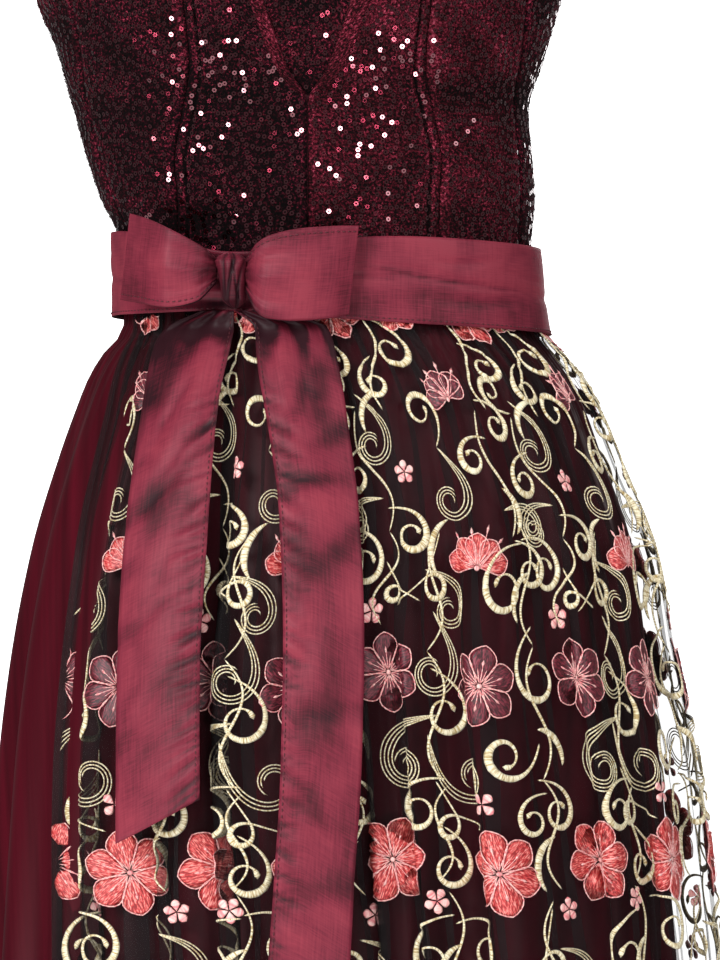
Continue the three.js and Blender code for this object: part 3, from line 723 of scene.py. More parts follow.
def skirt_tapes():
    points = CLOTHS["satin_skirt_front"]
    outs = normals(points)
    behind = SATIN_WALL + 0.2
    ends = ((0, 1), (-1, -2))
    return [seam_tape(points[:, at], outs[:, at], points[:, beside], behind) for at, beside in ends]


INSERT = {"low": 113, "high": 236, "top_dip": 5, "depth": 3, "underlap": 9}


def insert_points():
    up, across = grid(*GRIDS["insert"])
    side = 2 * across - 1
    top = INSERT["high"] - INSERT["top_dip"] * (1 - side**2)
    rise = mix(INSERT["low"], top, up)
    neck = {"rise": FRONT_EDGE["rise"][1:], "x": FRONT_EDGE["x"][1:]}
    half = smooth(neck, "x", rise) + INSERT["underlap"]
    x = np.where(np.abs(side) < 1e-6, 1e-3, half * side)
    points = bodice_point(turn_at(BODICE, x, rise), rise)
    points[..., 1] += INSERT["depth"]
    return points


def creased(points, creases, ring=False):
    """Soft troughs in a cloth: how far along and up it each lies, its length, slant in degrees,
    depth and width. A negative depth is a ridge."""
    u, v = lengths(points, 1), lengths(points, 0)
    u = u - u[:, points.shape[1] // 2][:, None]
    sunk = np.zeros(u.shape)
    for along, upward, length, slant, depth, width in creases:
        lean = math.radians(slant)
        a = (u - along) * math.cos(lean) + (v - upward) * math.sin(lean)
        b = (v - upward) * math.cos(lean) - (u - along) * math.sin(lean)
        bow = b - 0.08 * length * ((a / length) ** 2)
        sunk += depth * bell(a, length / 2) * bell(bow, width)
    return points - normals(points, ring) * sunk[..., None]


KNOT = np.array([-47, -98.1, -2.0])
SASH_CREASES = (
    (104, 27, 96, -3, 2.0, 1.5),
    (25, 27.5, 84, 0, 1.3, 3.2),
    (43, 33, 60, -3, 0.9, 1.6),
    (104, 40, 44, 5, 0.8, 2.2),
    (118, 16, 70, 3, 1.0, 3.5),
    (-150, 22, 90, -4, 1.1, 3.0),
    (-210, 36, 70, 5, 1.0, 2.5),
    (-280, 18, 110, 2, 1.2, 3.5),
    (-360, 34, 80, -5, 0.9, 2.4),
    (210, 24, 90, 4, 1.1, 3.0),
    (290, 38, 80, -3, 1.0, 2.5),
    (350, 15, 70, 5, 1.0, 2.8),
    (155, 34, 50, -6, 0.7, 1.8),
)


# Near the knot the ribbon is gathered: how far to each side, and how far its edges move in.
SASH_GATHERS = {"right": 46, "left": 62, "top_drop": 15, "low_lift": 3, "pleat_depth": 1.3}
SASH_OFF = {"edges": 1.2, "belly": 1.6}


def sash_points():
    """The ring round the waist, and its painted shade: by the knot and low down beside it."""
    up, around = grid(*GRIDS["sash"])
    turn = 360 * around - 180
    from_knot = oval(SASH, turn, np.zeros_like(turn))[..., 0] - KNOT[0]
    at_front = np.cos(np.radians(turn)) > 0
    gathers = SASH_GATHERS
    gathered = at_front * bell(from_knot, np.where(from_knot > 0, gathers["left"], gathers["right"]))
    top = 0.5 * RIBBON_WIDTH - gathers["top_drop"] * gathered
    low = -0.5 * RIBBON_WIDTH + gathers["low_lift"] * gathered
    level = mix(low, top, up) + SASH_CENTRE
    pleats = gathers["pleat_depth"] * gathered * np.cos(6 * np.pi * up)
    rise = level - SASH_TILT * oval(SASH, turn, level)[..., 0]
    off = SASH_OFF["edges"] + SASH_OFF["belly"] * (1 - (2 * up - 1) ** 2) + pleats
    flat = oval(SASH, turn, rise) + oval_out(SASH, turn, rise) * off[..., None]
    # Painted shade: near the knot, and on the lower part of the front beyond 60 mm to the wearer's left of
    # it.
    shade = 1.2 * gathered + 1.0 * (1 - ease((up - 0.3) / 0.22)) * ease((from_knot - 60) / 30) * at_front
    return creased(stack(flat[..., 0], flat[..., 1], rise), SASH_CREASES, ring=True), shade


def bow_point(aside, out, up):
    return stack(KNOT[0] + aside, KNOT[1] - out, KNOT[2] + up)


LOOPS = {
    "right": columns(
        "far aside high low out open",
        (0, 9.4, 13.5, -1.5, 4, 3),
        (0.12, 15, 18, -8.5, 9, 5),
        (0.22, 21, 21.5, -14, 12, 6),
        (0.5, 38, 30, -17.5, 11, 7),
        (0.8, 57, 38.5, -14, -3, 5),
        (1, 69, 42.5, -11.5, -17, 1.6),
    ),
    "left": columns(
        "far aside high low out open",
        (0, 8.6, 13, -7, 4, 3),
        (0.12, 14, 20.5, -18, 10.5, 5),
        (0.25, 22, 26, -24.5, 14, 6.5),
        (0.5, 40, 30.5, -26, 15, 7),
        (0.8, 62, 32.5, -24.5, 13, 5),
        (1, 75, 33, -22, 9.5, 1.6),
    ),
}
LOOP_BEND = 0.55
LOOP_TILT = 0.11


def loop_points(which):
    """A loop starts at the knot with its front layer, turns at the far end and comes back behind."""
    shape, side = LOOPS[which], SIDES[which]
    across, along = grid(*GRIDS["loop"])
    along = along if side > 0 else 1 - along
    angle = mix(0.5, -0.5, along) * np.pi
    far = np.abs(np.cos(angle)) ** LOOP_BEND
    layer = np.sin(angle)
    up = mix(smooth(shape, "low", far), smooth(shape, "high", far), across)
    fullness = 1 - 0.35 * (2 * across - 1) ** 2
    near = (1 - far) ** 1.5
    pleat = 1.6 * near * np.cos(4 * np.pi * across)
    fine = 1.1 * (1 - far) ** 4 * np.cos(2 * np.pi * (5.5 * across + 0.8 * far) + side)
    off = np.sign(layer) * np.abs(layer) ** 0.7 * smooth(shape, "open", far) * fullness
    aside = side * smooth(shape, "aside", far) + LOOP_TILT * far * up
    out = smooth(shape, "out", far) + off + (pleat + fine) * layer
    # Painted shade, strongest by the knot and varying across the ribbon.
    return bow_point(aside, out, up), 1.5 * (1 - far) ** 2 * (1 + 0.5 * np.cos(4 * np.pi * across))


KNOT_SHAPE = columns(
    "up across out aside",
    (-18, 6, 5.5, 2.4),
    (-13, 7.4, 9.5, 1.8),
    (-4, 7.8, 12, 0.7),
    (5, 8.8, 12.5, 0),
    (12, 10.6, 11, -0.6),
    (17, 11, 7.5, -1),
)
# Creases of the knot: where each crosses the middle, as a share of the half width, its slant, its
# depth and its width.
KNOT_CREASES = (
    (-0.6, 0.014, 1.9, 0.12),
    (-0.15, 0.034, 2.6, 0.12),
    (0.25, -0.012, 1.4, 0.09),
    (0.6, 0.024, 2.4, 0.12),
)


def knot_point(direction):
    """A point of the knot for each direction from its middle, and how deep in a crease it lies."""
    x, y, z = direction[..., 0], direction[..., 1], direction[..., 2]
    up = mix(KNOT_SHAPE["up"][0], KNOT_SHAPE["up"][-1], (np.arcsin(np.clip(z, -1, 1)) / np.pi) + 0.5)
    level = np.maximum(np.hypot(x, y), 1e-9)
    sideways, outwards = x / level, -y / level
    round_ends = np.minimum(level * 2.2, 1) ** 0.5
    sunk = sum(
        depth * bell(sideways - at - slant * up, width) for at, slant, depth, width in KNOT_CREASES
    ) * np.clip(outwards, 0, 1)
    across = (smooth(KNOT_SHAPE, "across", up) - 0.4 * sunk) * round_ends
    out = (smooth(KNOT_SHAPE, "out", up) - sunk) * round_ends
    out = out * np.where(outwards > 0, 1, 0.55)
    return bow_point(smooth(KNOT_SHAPE, "aside", up) + across * sideways, 3 + out * outwards, up), sunk


TAILS = {
    "right": (28, columns(
        "rise low high off",
        (-21.1, -66, -46, 4.5),
        (-31, -89, -46, 3.2),
        (-42, -96, -47.5, 4.6),
        (-80, -102, -54.5, 5.4),
        (-168, -111.5, -60, 4.4),
        (-240, -114, -63, 3),
        (-329, -113.5, -62.5, 3),
    )),
    "left": (-28, columns(
        "rise low high off",
        (-21.1, -45, -26, 3.2),
        (-31, -33, 12, 2.8),
        (-52, -31, 18.5, 2.4),
        (-104, -22, 27, 2),
        (-146, -16.5, 32, 2),
        (-221, -13.5, 35, 2),
        (-293, -14.5, 33.5, 2),
        (-365, -18.5, 29, 2),
        (-470, -25, 23, 2),
    )),
}
TAIL_CREASES = {
    "right": (
        (-4, 262, 60, 62, 1.4, 5),
        (10, 236, 70, 48, 1.6, 6),
        (-8, 205, 60, 35, 1.1, 6),
        (6, 170, 80, 70, 0.9, 7),
        (-6, 130, 60, 30, 0.8, 6),
        (4, 88, 70, 55, 0.8, 7),
        (0, 48, 50, 25, 0.7, 6),
    ),
    "left": (
        (-2, 410, 60, 75, 1.6, 5),
        (8, 385, 70, 50, 1.5, 6),
        (-8, 350, 70, 30, 1.2, 7),
        (10, 315, 80, 60, 1.0, 6),
        (-4, 262, 90, 72, 1.0, 8),
        (6, 210, 70, 35, 0.9, 7),
        (-6, 160, 80, 62, 0.8, 7),
        (4, 105, 70, 40, 0.9, 7),
        (0, 55, 60, 30, 0.7, 7),
    ),
}


# Painted shadows of a tail: how far across and, in millimetres, how far down each lies, how far
# it spreads both ways, and its depth.
TAIL_SHADES = {
    "right": (
        (0.35, 12, 0.5, 16, 1.3),
        (0.12, 48, 0.34, 30, 1.5),
        (0.75, 90, 0.16, 40, 0.6),
        (0.3, 122, 0.16, 16, 0.8),
        (0.4, 178, 0.3, 7, 0.8),
        (0.7, 222, 0.26, 30, 1.1),
        (0.5, 262, 0.3, 12, 0.7),
    ),
    "left": (
        (0.5, 4, 0.6, 13, 1.4),
        (0.68, 52, 0.2, 36, 1.4),
        (0.5, 104, 0.3, 4, 1.1),
        (0.3, 150, 0.2, 20, 0.7),
        (0.6, 184, 0.2, 40, 1.2),
        (0.66, 232, 0.22, 22, 1.2),
        (0.4, 300, 0.3, 16, 1.0),
        (0.55, 342, 0.3, 12, 0.9),
    ),
}
# Painted shade added all over both tails.
TAIL_SHADE = 0.42


def tail_points(which):
    slant, shape = TAILS[which]
    up, across = grid(*GRIDS["tail"])
    end, top = shape["rise"][0], shape["rise"][-1]
    level = mix(end, top, up)
    x = mix(smooth(shape, "low", level), smooth(shape, "high", level), across)
    rise = level + np.maximum(0, 1 - up / 0.25) * slant * (across - 0.5)
    crest = np.interp(rise, LEVELS, FRAME_CRESTS)
    below = np.minimum(1, (top - level) / 60)
    ripple = 1.2 * wave(rise, 1 / 132, 3 * across) * (across - 0.5) * below
    curve = 2.5 * (1 - (2 * across - 1) ** 2) * below
    gathers = bell(top - level, 46) * 1.3 * (1 + np.cos(2 * np.pi * (2.6 * across + 0.15)))
    sewn = across if which == "left" else 1 - across
    slanted = level + 22 * sewn
    ripples = wave(slanted, 1 / 9, 2 * wave(level, 1 / 41, 0)) + wave(slanted, 1 / 14, 1)
    puckers = 0.5 * bell(sewn - 0.14, 0.2) * ripples * below
    off = smooth(shape, "off", level) + curve + ripple + 1.6 + gathers + puckers
    behind = apron_middle(turn_at(SKIRT, x, rise), rise)
    points = stack(x, behind[..., 1] - crest - off, rise)
    # Painted shadows from TAIL_SHADES, over painted shade all over the tail.
    shade = sum(
        depth * bell(across - a + 0.0016 * (top - level - down), spread) * bell(top - level - down, long)
        for a, down, spread, long, depth in TAIL_SHADES[which]
    )
    return creased(points, TAIL_CREASES[which]), shade + TAIL_SHADE


# Embroidery. A motif is drawn flat, in millimetres from its own middle with x to the wearer's left,
# as lines of complex numbers with a width at each stitch. Then it is laid on the net.
# A section is the line's cross-section, as shares of its width and of its height.
SATIN_STITCH = ((-0.5, 0), (-0.28, 1), (0.28, 1), (0.5, 0))
CHAIN_STITCH = ((-0.5, 0), (0, 1), (0.5, 0))
FILLED_PETAL = ((-0.5, 0), (-0.3, 0.8), (0, 1), (0.3, 0.8), (0.5, 0))
STITCH_STEP = 2.2
PETAL_WIDTH = 0.35


LINE_STEPS = 400


def led_line(start, end, turn_of):
    """A line from start to end that turns on its way, by so many degrees at each share of it."""
    middle = (np.arange(LINE_STEPS) + 0.5) / LINE_STEPS
    line = np.concatenate([[0], np.cumsum(np.exp(1j * np.radians(turn_of(middle))))]) / LINE_STEPS
    scale = (complex(*end) - complex(*start)) / line[-1]
    share = np.linspace(0, 1, max(6, round(abs(scale) / STITCH_STEP)) + 1)
    return complex(*start) + scale * np.interp(share, np.linspace(0, 1, LINE_STEPS + 1), line), share


def swell(share, thin, wide, at=0.5, spread=0.26, ball=0.0):
    """Widths of a line that is wide on its bend and may end in a ball."""
    return thin + (wide - thin) * bell(share - at, spread) + ball * bell(share - 0.97, 0.03)


def curl(start, eye, sweep, wide=3.2):
    line, share = led_line(start, eye, lambda way: sweep * way**1.8)
    return [("gold_satin", line, swell(share, 1.0, 1.15 * wide, ball=2.6))]


def vine(start, end, sway, wide=1.5):
    way = complex(*end) - complex(*start)
    share = np.linspace(0, 1, round(abs(way) / STITCH_STEP) + 1)
    line = complex(*start) + way * share + 1j * way / abs(way) * sway * np.sin(2 * np.pi * share)
    return [("gold_satin", line, swell(share, 0.8, wide, 0.5, 0.35))]


def loop(start, end, sweep, wide=3.4):
    line, share = led_line(start, end, lambda way: sweep * ease(1.8 * way - 0.4))
    return [("gold_satin", line, swell(share, 1.0, wide, 0.5, 0.17))]


def crescent(start, end, bend, wide=4.2):
    line, share = led_line(start, end, lambda way: bend * way)
    return [("gold_satin", line, 0.5 + wide * np.sin(np.pi * share) ** 0.8)]


def swirl(start, eye, sweep, lines=3):
    """Lines of chain stitch side by side that run together at both ends."""
    middle, share = led_line(start, eye, lambda way: sweep * way**2.2)
    side = 1j * np.gradient(middle)
    apart = 3.0 * np.minimum(1, 2.6 * share) * (1 - 0.42 * share) * side / abs(side)
    rows = []
    for k in range(lines):
        last = round(len(share) * (1 - 0.04 * (k % 3)))
        rows.append(("gold_chain", (middle + apart * (k - (lines - 1) / 2))[:last], np.full(last, 0.9)))
    return rows


def petal_half(share, length):
    return PETAL_WIDTH * length * np.sin(np.pi * share**1.6) ** 0.75


def petals(centre, length, angles, thread):
    share = np.linspace(0, 1, 10)
    along = length * (0.04 + 0.96 * share)
    width = 2 * petal_half(share, length)
    return [(thread, complex(*centre) + np.exp(1j * np.radians(angle)) * along, width) for angle in angles]


def outlined(centre, length, angles, thread, rays=3, stamens=True):
    """Petals with a pale rim, rays and a stamen each."""
    rows = petals(centre, length, angles, thread)
    trip = np.linspace(-1, 1, 19)
    out = 1 - np.abs(trip) ** 1.4
    rim = length * (0.04 + 0.96 * out) + 1j * np.sign(trip) * petal_half(out, length)
    share = np.linspace(0, 1, 7)
    for angle in angles:
        way = np.exp(1j * np.radians(angle))
        rows.append(("pink_line", complex(*centre) + way * rim, np.full(19, 0.9)))
        for k in range(rays):
            lean = way * np.exp(1j * np.radians((k - (rays - 1) / 2) * 15))
            reach = length * (0.05 + (0.4 + 0.12 * (k % 2)) * share)
            rows.append(("pink_line", complex(*centre) + lean * reach, 0.85 - 0.3 * share))
        if stamens:
            line = complex(*centre) + way * length * (0.05 + 0.62 * share)
            rows.append(("pink_line", line, 0.6 + 1.4 * (share > 0.8)))
    knot = complex(*centre) + np.linspace(-1.8, 1.8, 6)
    rows.append(("pink_petal", knot, np.array([0, 2.4, 3.4, 3.4, 2.4, 0])))
    return rows


def fan(spread, count, middle=90):
    return [middle + spread * (k / (count - 1) - 0.5) for k in range(count)]


def blossom(centre, length, thread, turn=15):
    return outlined(centre, length, [turn + 60 * k for k in range(6)], thread)


def lily(centre, length, thread, middle=90):
    """A flower seen from its side, with long stamens."""
    rows = outlined(centre, length, fan(150, 5, middle), thread, rays=1, stamens=False)
    share = np.linspace(0, 1, 9)
    for k, angle in enumerate(fan(80, 4, middle)):
        line = np.exp(1j * np.radians(angle)) * (0.1 + (1.1 + 0.12 * (k % 2)) * share) + 0.1 * share**2
        rows.append(("pink_line", complex(*centre) + length * line, 0.65 + 1.4 * (share > 0.85)))
    return rows


def small_flower(centre, length, count=5, turn=20):
    return petals(centre, length, [turn + 360 / count * k for k in range(count)], "pink_petal")


def hanging_flower(centre, length, middle=-90):
    return outlined(centre, length, fan(170, 4, middle), "coral_petal", rays=1, stamens=False)


# Motifs of one column, from the middle of its wine blossom. Even and odd columns differ.
EVEN_COLUMN = (
    (blossom, (0, 0), 24.5, "wine_petal"),
    (blossom, (-1, -111), 26, "coral_petal", 40),
    (vine, (40, 98), (44, 22), 8, 1.9),
    (vine, (44, 22), (36, -58), -8, 1.9),
    (vine, (36, -58), (40, -124), 8, 1.9),
    (curl, (43, 84), (14, 58), 440, 4.4),
    (swirl, (-44, 70), (-20, 46), -430),
    (curl, (44, 34), (36, 4), 400, 3.8),
    (crescent, (46, 66), (32, 36), 110, 4.2),
    (curl, (37, -36), (8, -48), -450, 4.4),
    (swirl, (-48, -28), (-22, -60), 420),
    (curl, (38, -66), (20, -80), 430, 3.4),
    (loop, (-46, -56), (-12, -86), -320, 4.0),
    (crescent, (40, -92), (28, -124), 120, 4.6),
    (small_flower, (-6, -70), 8, 4, 45),
    (small_flower, (44, -136), 7.5),
)
ODD_COLUMN = (
    (blossom, (3, 2), 24, "wine_petal", 38),
    (blossom, (2, -109), 26, "coral_petal", 10),
    (vine, (44, 92), (34, 16), -9, 1.9),
    (vine, (34, 16), (44, -64), 9, 1.9),
    (vine, (44, -64), (36, -120), -7, 1.9),
    (loop, (42, 88), (8, 42), 330, 4.2),
    (curl, (-42, 84), (-12, 66), -460, 4.0),
    (swirl, (38, 40), (42, 0), -430),
    (curl, (36, 6), (52, -20), -420, 3.6),
    (swirl, (40, -22), (8, -52), 440, 4),
    (crescent, (-40, -30), (-22, -52), -110, 4.4),
    (curl, (44, -60), (18, -78), 450, 4.0),
    (curl, (-44, -60), (-24, -78), -430, 3.8),
    (curl, (40, -88), (50, -114), -430, 3.8),
    (small_flower, (-10, 38), 8.5),
    (small_flower, (34, -132), 8, 5, 60),
)
# Motifs of two columns above their first blossoms, from the middle of the coral lily.
TOP_COLUMNS = (
    (lily, (0, -6), 21, "coral_petal"),
    (lily, (-3, 97), 18, "wine_petal", 110),
    (hanging_flower, (34, 152), 18, -95),
    (hanging_flower, (-16, 154), 16, -80),
    (vine, (20, 152), (18, 92), 5, 1.6),
    (vine, (18, 92), (26, 14), -7, 1.8),
    (curl, (20, 134), (34, 120), -430, 3.4),
    (curl, (19, 98), (38, 84), -440, 4.0),
    (curl, (20, 74), (0, 62), 440, 4.2),
    (swirl, (-22, 66), (-12, 32), -430),
    (crescent, (24, 44), (30, 16), -110, 4.4),
    (curl, (27, 12), (44, -6), -440, 4.0),
    (vine, (60, 150), (52, 90), 5, 1.6),
    (vine, (52, 90), (68, 16), -8, 1.8),
    (vine, (68, 16), (64, -40), 7, 1.8),
    (curl, (58, 124), (50, 106), 430, 3.6),
    (swirl, (54, 100), (66, 66), -440),
    (curl, (57, 68), (42, 48), 450, 4.4),
    (swirl, (66, 36), (42, 20), 430),
    (curl, (68, 30), (90, 14), -450, 4.6),
    (loop, (66, -2), (90, -26), -330, 4.0),
    (small_flower, (84, 52), 7.5),
    (crescent, (58, 76), (74, 100), -120, 4.4),
    (curl, (53, 92), (36, 104), -430, 4.0),
    (swirl, (22, 30), (46, 24), -430),
    (crescent, (-20, 22), (-28, -12), 110, 4.4),
    (curl, (60, 148), (72, 128), -420, 3.6),
    (curl, (-22, 66), (-26, 92), 430, 3.8),
)
FIRST_COLUMN = 0.103
COLUMN_STEP = 0.105
COLUMNS = 9
# Nothing is embroidered nearer to the net's sides than this share of its width, nor nearer to its
# ends than so many millimetres. Above the gathered rise the net is much narrower.
NET_INSET = {"side": 0.006, "low": 6, "high": 8}
GATHERED_RISE = -60
# Each thread's finish, cross-section, height and how far off the net it starts, in millimetres.
THREADS = {
    "gold_satin": ("gold", SATIN_STITCH, 0.9, 0.25),
    "gold_chain": ("gold", CHAIN_STITCH, 0.7, 0.25),
    "wine_petal": ("wine", FILLED_PETAL, 0.5, 0.25),
    "coral_petal": ("coral", FILLED_PETAL, 0.5, 0.25),
    "pink_petal": ("pink", FILLED_PETAL, 0.6, 0.25),
    "pink_line": ("pink", CHAIN_STITCH, 0.7, 0.6),
}


def embroidery_lines():
    """For each thread, its lines on the net: share and rise of each stitch, and its width."""
    lines = {thread: [] for thread in THREADS}
    draw = np.random.default_rng(11)
    for column in range(-1, COLUMNS):
        share = FIRST_COLUMN + COLUMN_STEP * column
        if column % 2:
            in_column = ((ODD_COLUMN, -248), (EVEN_COLUMN, -470))
        else:
            in_column = ((EVEN_COLUMN, -248), (ODD_COLUMN, -470), (TOP_COLUMNS, -177))
        for motifs, rise in in_column:
            rise = rise + draw.uniform(-5, 5)
            turn = np.exp(1j * np.radians(draw.uniform(-5, 5)))
            for motif, *settings in motifs:
                for thread, line, widths in motif(*settings):
                    is_top = rise + line.imag.max() > GATHERED_RISE
                    at = rise + line.imag.mean() if is_top else rise
                    width = float(np.interp(at, LEVELS, NET_WIDTHS))
                    lines[thread].append((share, rise, width, line * turn, widths))
    return lines


# A stitch's width varies between these shares, and one narrower than this is lower than its thread.
UNEVEN_WIDTHS = (0.93, 1.07)
FULL_HEIGHT_FROM = 1.6
# Each line of stitches has its own part of the thread's pattern.
PATTERN_SHIFT = 40


def on_cloth(share, rise, net_width, line, widths):
    """The stretch of a line that lies on the net, or nothing where it is too short to sew."""
    on_share, on_rise = share + line.real / net_width, rise + line.imag
    inside = (on_share > NET_INSET["side"]) & (on_share < 1 - NET_INSET["side"])
    inside &= (on_rise > NET_INSET["low"] - APRON_LENGTH) & (on_rise < TOP_RISE - NET_INSET["high"])
    if inside.all():
        return line, widths
    if inside.sum() < 4:
        return None
    first = int(np.argmax(inside))
    stop = first + int(np.argmin(np.append(inside[first:], False)))
    return (line[first:stop], widths[first:stop]) if stop - first >= 4 else None


def thread_object(name, lines, finish_name, section, height, lift):
    """All lines of one thread as closed tubes on the net. They are made from one long grid, whose
    rows between two lines are taken out."""
    draw = np.random.default_rng(5)
    across = np.array([a for a, _ in section] + [section[0][0]])
    up = np.array([u for _, u in section] + [section[0][1]])
    places, marks, ends = [], [], []
    for share, rise, net_width, *whole in lines:
        sewn = on_cloth(share, rise, net_width, *whole)
        if not sewn:
            continue
        line, widths = sewn
        widths = widths * draw.uniform(*UNEVEN_WIDTHS, len(widths))
        widths[[0, -1]] = 0
        side = 1j * np.gradient(line)
        spread = line[:, None] + (side / abs(side) * widths)[:, None] * across
        tall = np.minimum(1, widths / FULL_HEIGHT_FROM) ** 0.5 * height
        off = lift + tall[:, None] * up
        places.append(on_net(share + spread.real / net_width, rise + spread.imag, off))
        along = np.cumsum(np.abs(np.diff(line, prepend=line[0])))
        marks.append(stack(widths[:, None] * across, along[:, None], draw.uniform(0, PATTERN_SHIFT)))
        ends.append(len(line))
    placed, marked = in_frame(np.concatenate(places)), np.concatenate(marks)
    rows, cols = placed.shape[0] - 1, placed.shape[1] - 1
    last_rows = set((np.cumsum(ends) - 1).tolist())
    bm = bmesh.new()
    bmesh.ops.create_grid(bm, x_segments=cols, y_segments=rows, size=1)
    cloth = bm.verts.layers.float_vector.new("cloth")
    for vert, place, mark in zip(bm.verts, placed.reshape(-1, 3), marked.reshape(-1, 3)):
        vert.co = place
        vert[cloth] = mark
    bm.faces.ensure_lookup_table()
    between = [face for k, face in enumerate(bm.faces) if k // cols in last_rows]
    bmesh.ops.delete(bm, geom=between, context="FACES_ONLY")
    bmesh.ops.delete(bm, geom=[edge for edge in bm.edges if not edge.link_faces], context="EDGES")
    bmesh.ops.remove_doubles(bm, verts=bm.verts, dist=1e-7)
    bmesh.ops.recalc_face_normals(bm, faces=bm.faces)
    return object_of(name, bm, FINISHES[finish_name])


def joined_copies(name, shape, places, axes, material):
    """One small shape copied to many places. axes holds each copy's x, y and z axes as rows."""
    corners = np.array([vert.co for vert in shape.verts]) / 1000
    faces = [[vert.index for vert in face.verts] for face in shape.faces]
    placed = (corners @ axes + places[:, None]).reshape(-1, 3)
    count = len(corners)
    copies = [[k * count + corner for corner in face] for k in range(len(places)) for face in faces]
    mesh = bpy.data.meshes.new(name)
    mesh.from_pydata(placed, [], copies)
    mesh.materials.append(material)
    piece = bpy.data.objects.new(name, mesh)
    bpy.context.scene.collection.objects.link(piece)
    return piece


# Sequins lie one after another on wandering lines, about SEQUIN_LINES apart, each tilted a little by
# SEQUIN_TILT.
SEQUIN = {"outer": 1.6, "hole": 0.62, "thick": 0.14, "sides": 6, "step": 3.8, "clear": 3.3, "lift": 0.4}
SEQUIN_LINES = 15.0
SEQUIN_TILT = 0.09
SEQUIN_WAVES = 24
# Walks start from tries this far apart, at most so far from a line, and stop where the sum of waves
# is further from zero than this. Places are looked up in square cells of this size.
WALK = {"tries": 5, "reach": 6, "off": 0.3, "cell": 4}
# Sequins keep this far from a strip's edges.
SEWN_EDGE = 2.6


def sequin_shape():
    """A flat ring, spun from a low triangle that stands on its tip."""
    bm = bmesh.new()
    top = SEQUIN["thick"]
    outer, hole = SEQUIN["outer"], SEQUIN["hole"]
    profile = ((outer, top), (hole, top), (0.5 * (outer + hole), 0))
    corners = [bm.verts.new((x, 0, z)) for x, z in profile]
    edges = [bm.edges.new((corners[k], corners[(k + 1) % 3])) for k in range(3)]
    bmesh.ops.spin(
        bm, geom=corners + edges, axis=(0, 0, 1), cent=(0, 0, 0), steps=SEQUIN["sides"],
        angle=2 * math.pi, use_merge=True,
    )
    bmesh.ops.recalc_face_normals(bm, faces=bm.faces)
    bm.verts.index_update()
    return bm


def sequin_walks(width_at, height, seed):
    """Places across and up a strip, from its middle and its lower edge, along lines where a seeded
    sum of waves is zero."""
    draw = np.random.default_rng(seed)
    heading = draw.uniform(0, 2 * np.pi, SEQUIN_WAVES)
    ways = np.array([np.cos(heading), np.sin(heading)])
    wave_x, wave_y = ways * 2 * np.pi / SEQUIN_LINES * draw.uniform(0.85, 1.15, SEQUIN_WAVES)
    start = draw.uniform(0, 2 * np.pi, SEQUIN_WAVES)

    def onto_line(x, y):
        for _ in range(3):
            phase = wave_x * x + wave_y * y + start
            value, slope = np.cos(phase).sum(), -np.sin(phase)
            gx, gy = slope @ wave_x, slope @ wave_y
            steep = gx * gx + gy * gy + 1e-9
            x, y = x - value * gx / steep, y - value * gy / steep
        size = math.sqrt(steep)
        return x, y, gx / size, gy / size, value

    taken = {}

    def cell_of(x, y):
        return int(x // WALK["cell"]), int(y // WALK["cell"])

    def clear(x, y):
        if not (SEWN_EDGE < y < height - SEWN_EDGE and abs(x) < 0.5 * width_at(y) - SEWN_EDGE):
            return False
        cell_x, cell_y = cell_of(x, y)
        return all(
            (x - a) ** 2 + (y - b) ** 2 > SEQUIN["clear"] ** 2
            for i in (-1, 0, 1)
            for j in (-1, 0, 1)
            for a, b in taken.get((cell_x + i, cell_y + j), ())
        )

    widest = max(width_at(y) for y in np.linspace(0, height, 30))
    across = np.arange(-widest / 2, widest / 2, WALK["tries"])
    tries = [(x, y) for x in across for y in np.arange(0, height, WALK["tries"])]
    draw.shuffle(tries)
    found = []
    for x0, y0 in tries:
        x1, y1, *_, value = onto_line(x0, y0)
        if abs(value) > WALK["off"] or math.hypot(x1 - x0, y1 - y0) > WALK["reach"]:
            continue
        for way in (1, -1):
            x, y = x1, y1
            while clear(x, y):
                found.append((x, y))
                taken.setdefault(cell_of(x, y), []).append((x, y))
                _, _, gx, gy, _ = onto_line(x, y)
                x, y, *_, value = onto_line(x - way * SEQUIN["step"] * gy, y + way * SEQUIN["step"] * gx)
                if abs(value) > WALK["off"]:
                    break
            _, _, gx, gy, _ = onto_line(x1, y1)
            x1, y1, *_ = onto_line(x1 + SEQUIN["step"] * gy, y1 - SEQUIN["step"] * gx)
    return np.array(found)


def upright_axes(out, along, tilt, draw):
    """Axes for copies that lie on a cloth, each tilted and turned a little its own way."""
    out = unit(out + draw.normal(0, tilt, out.shape))
    across = unit(np.cross(out, along))
    return np.stack([np.cross(across, out), across, out], axis=1)


def sequins_on(name, points, seed):
    rows, cols = points.shape[0] - 1, points.shape[1] - 1
    u, v = lengths(points, 1), lengths(points, 0)[:, cols // 2]
    walked = sequin_walks(lambda y: float(np.interp(y, v, u[:, -1])), v[-1], seed)
    i = np.interp(walked[:, 1], v, np.arange(rows + 1))
    j = (walked[:, 0] / np.interp(walked[:, 1], v, u[:, -1]) + 0.5) * cols
    out = unit(read_grid(normals(points), i, j))
    draw = np.random.default_rng(seed + 50)
    places = read_grid(points, i, j) + out * SEQUIN["lift"]
    axes = upright_axes(out, unit(draw.normal(size=out.shape)), SEQUIN_TILT, draw)
    shape = sequin_shape()
    piece = joined_copies(name, shape, in_frame(places), axes, FINISHES["sequin"])
    shape.free()
    return piece


STITCH = {"length": 2.6, "thick": 0.8, "apart": 3.7, "lift": 0.2}


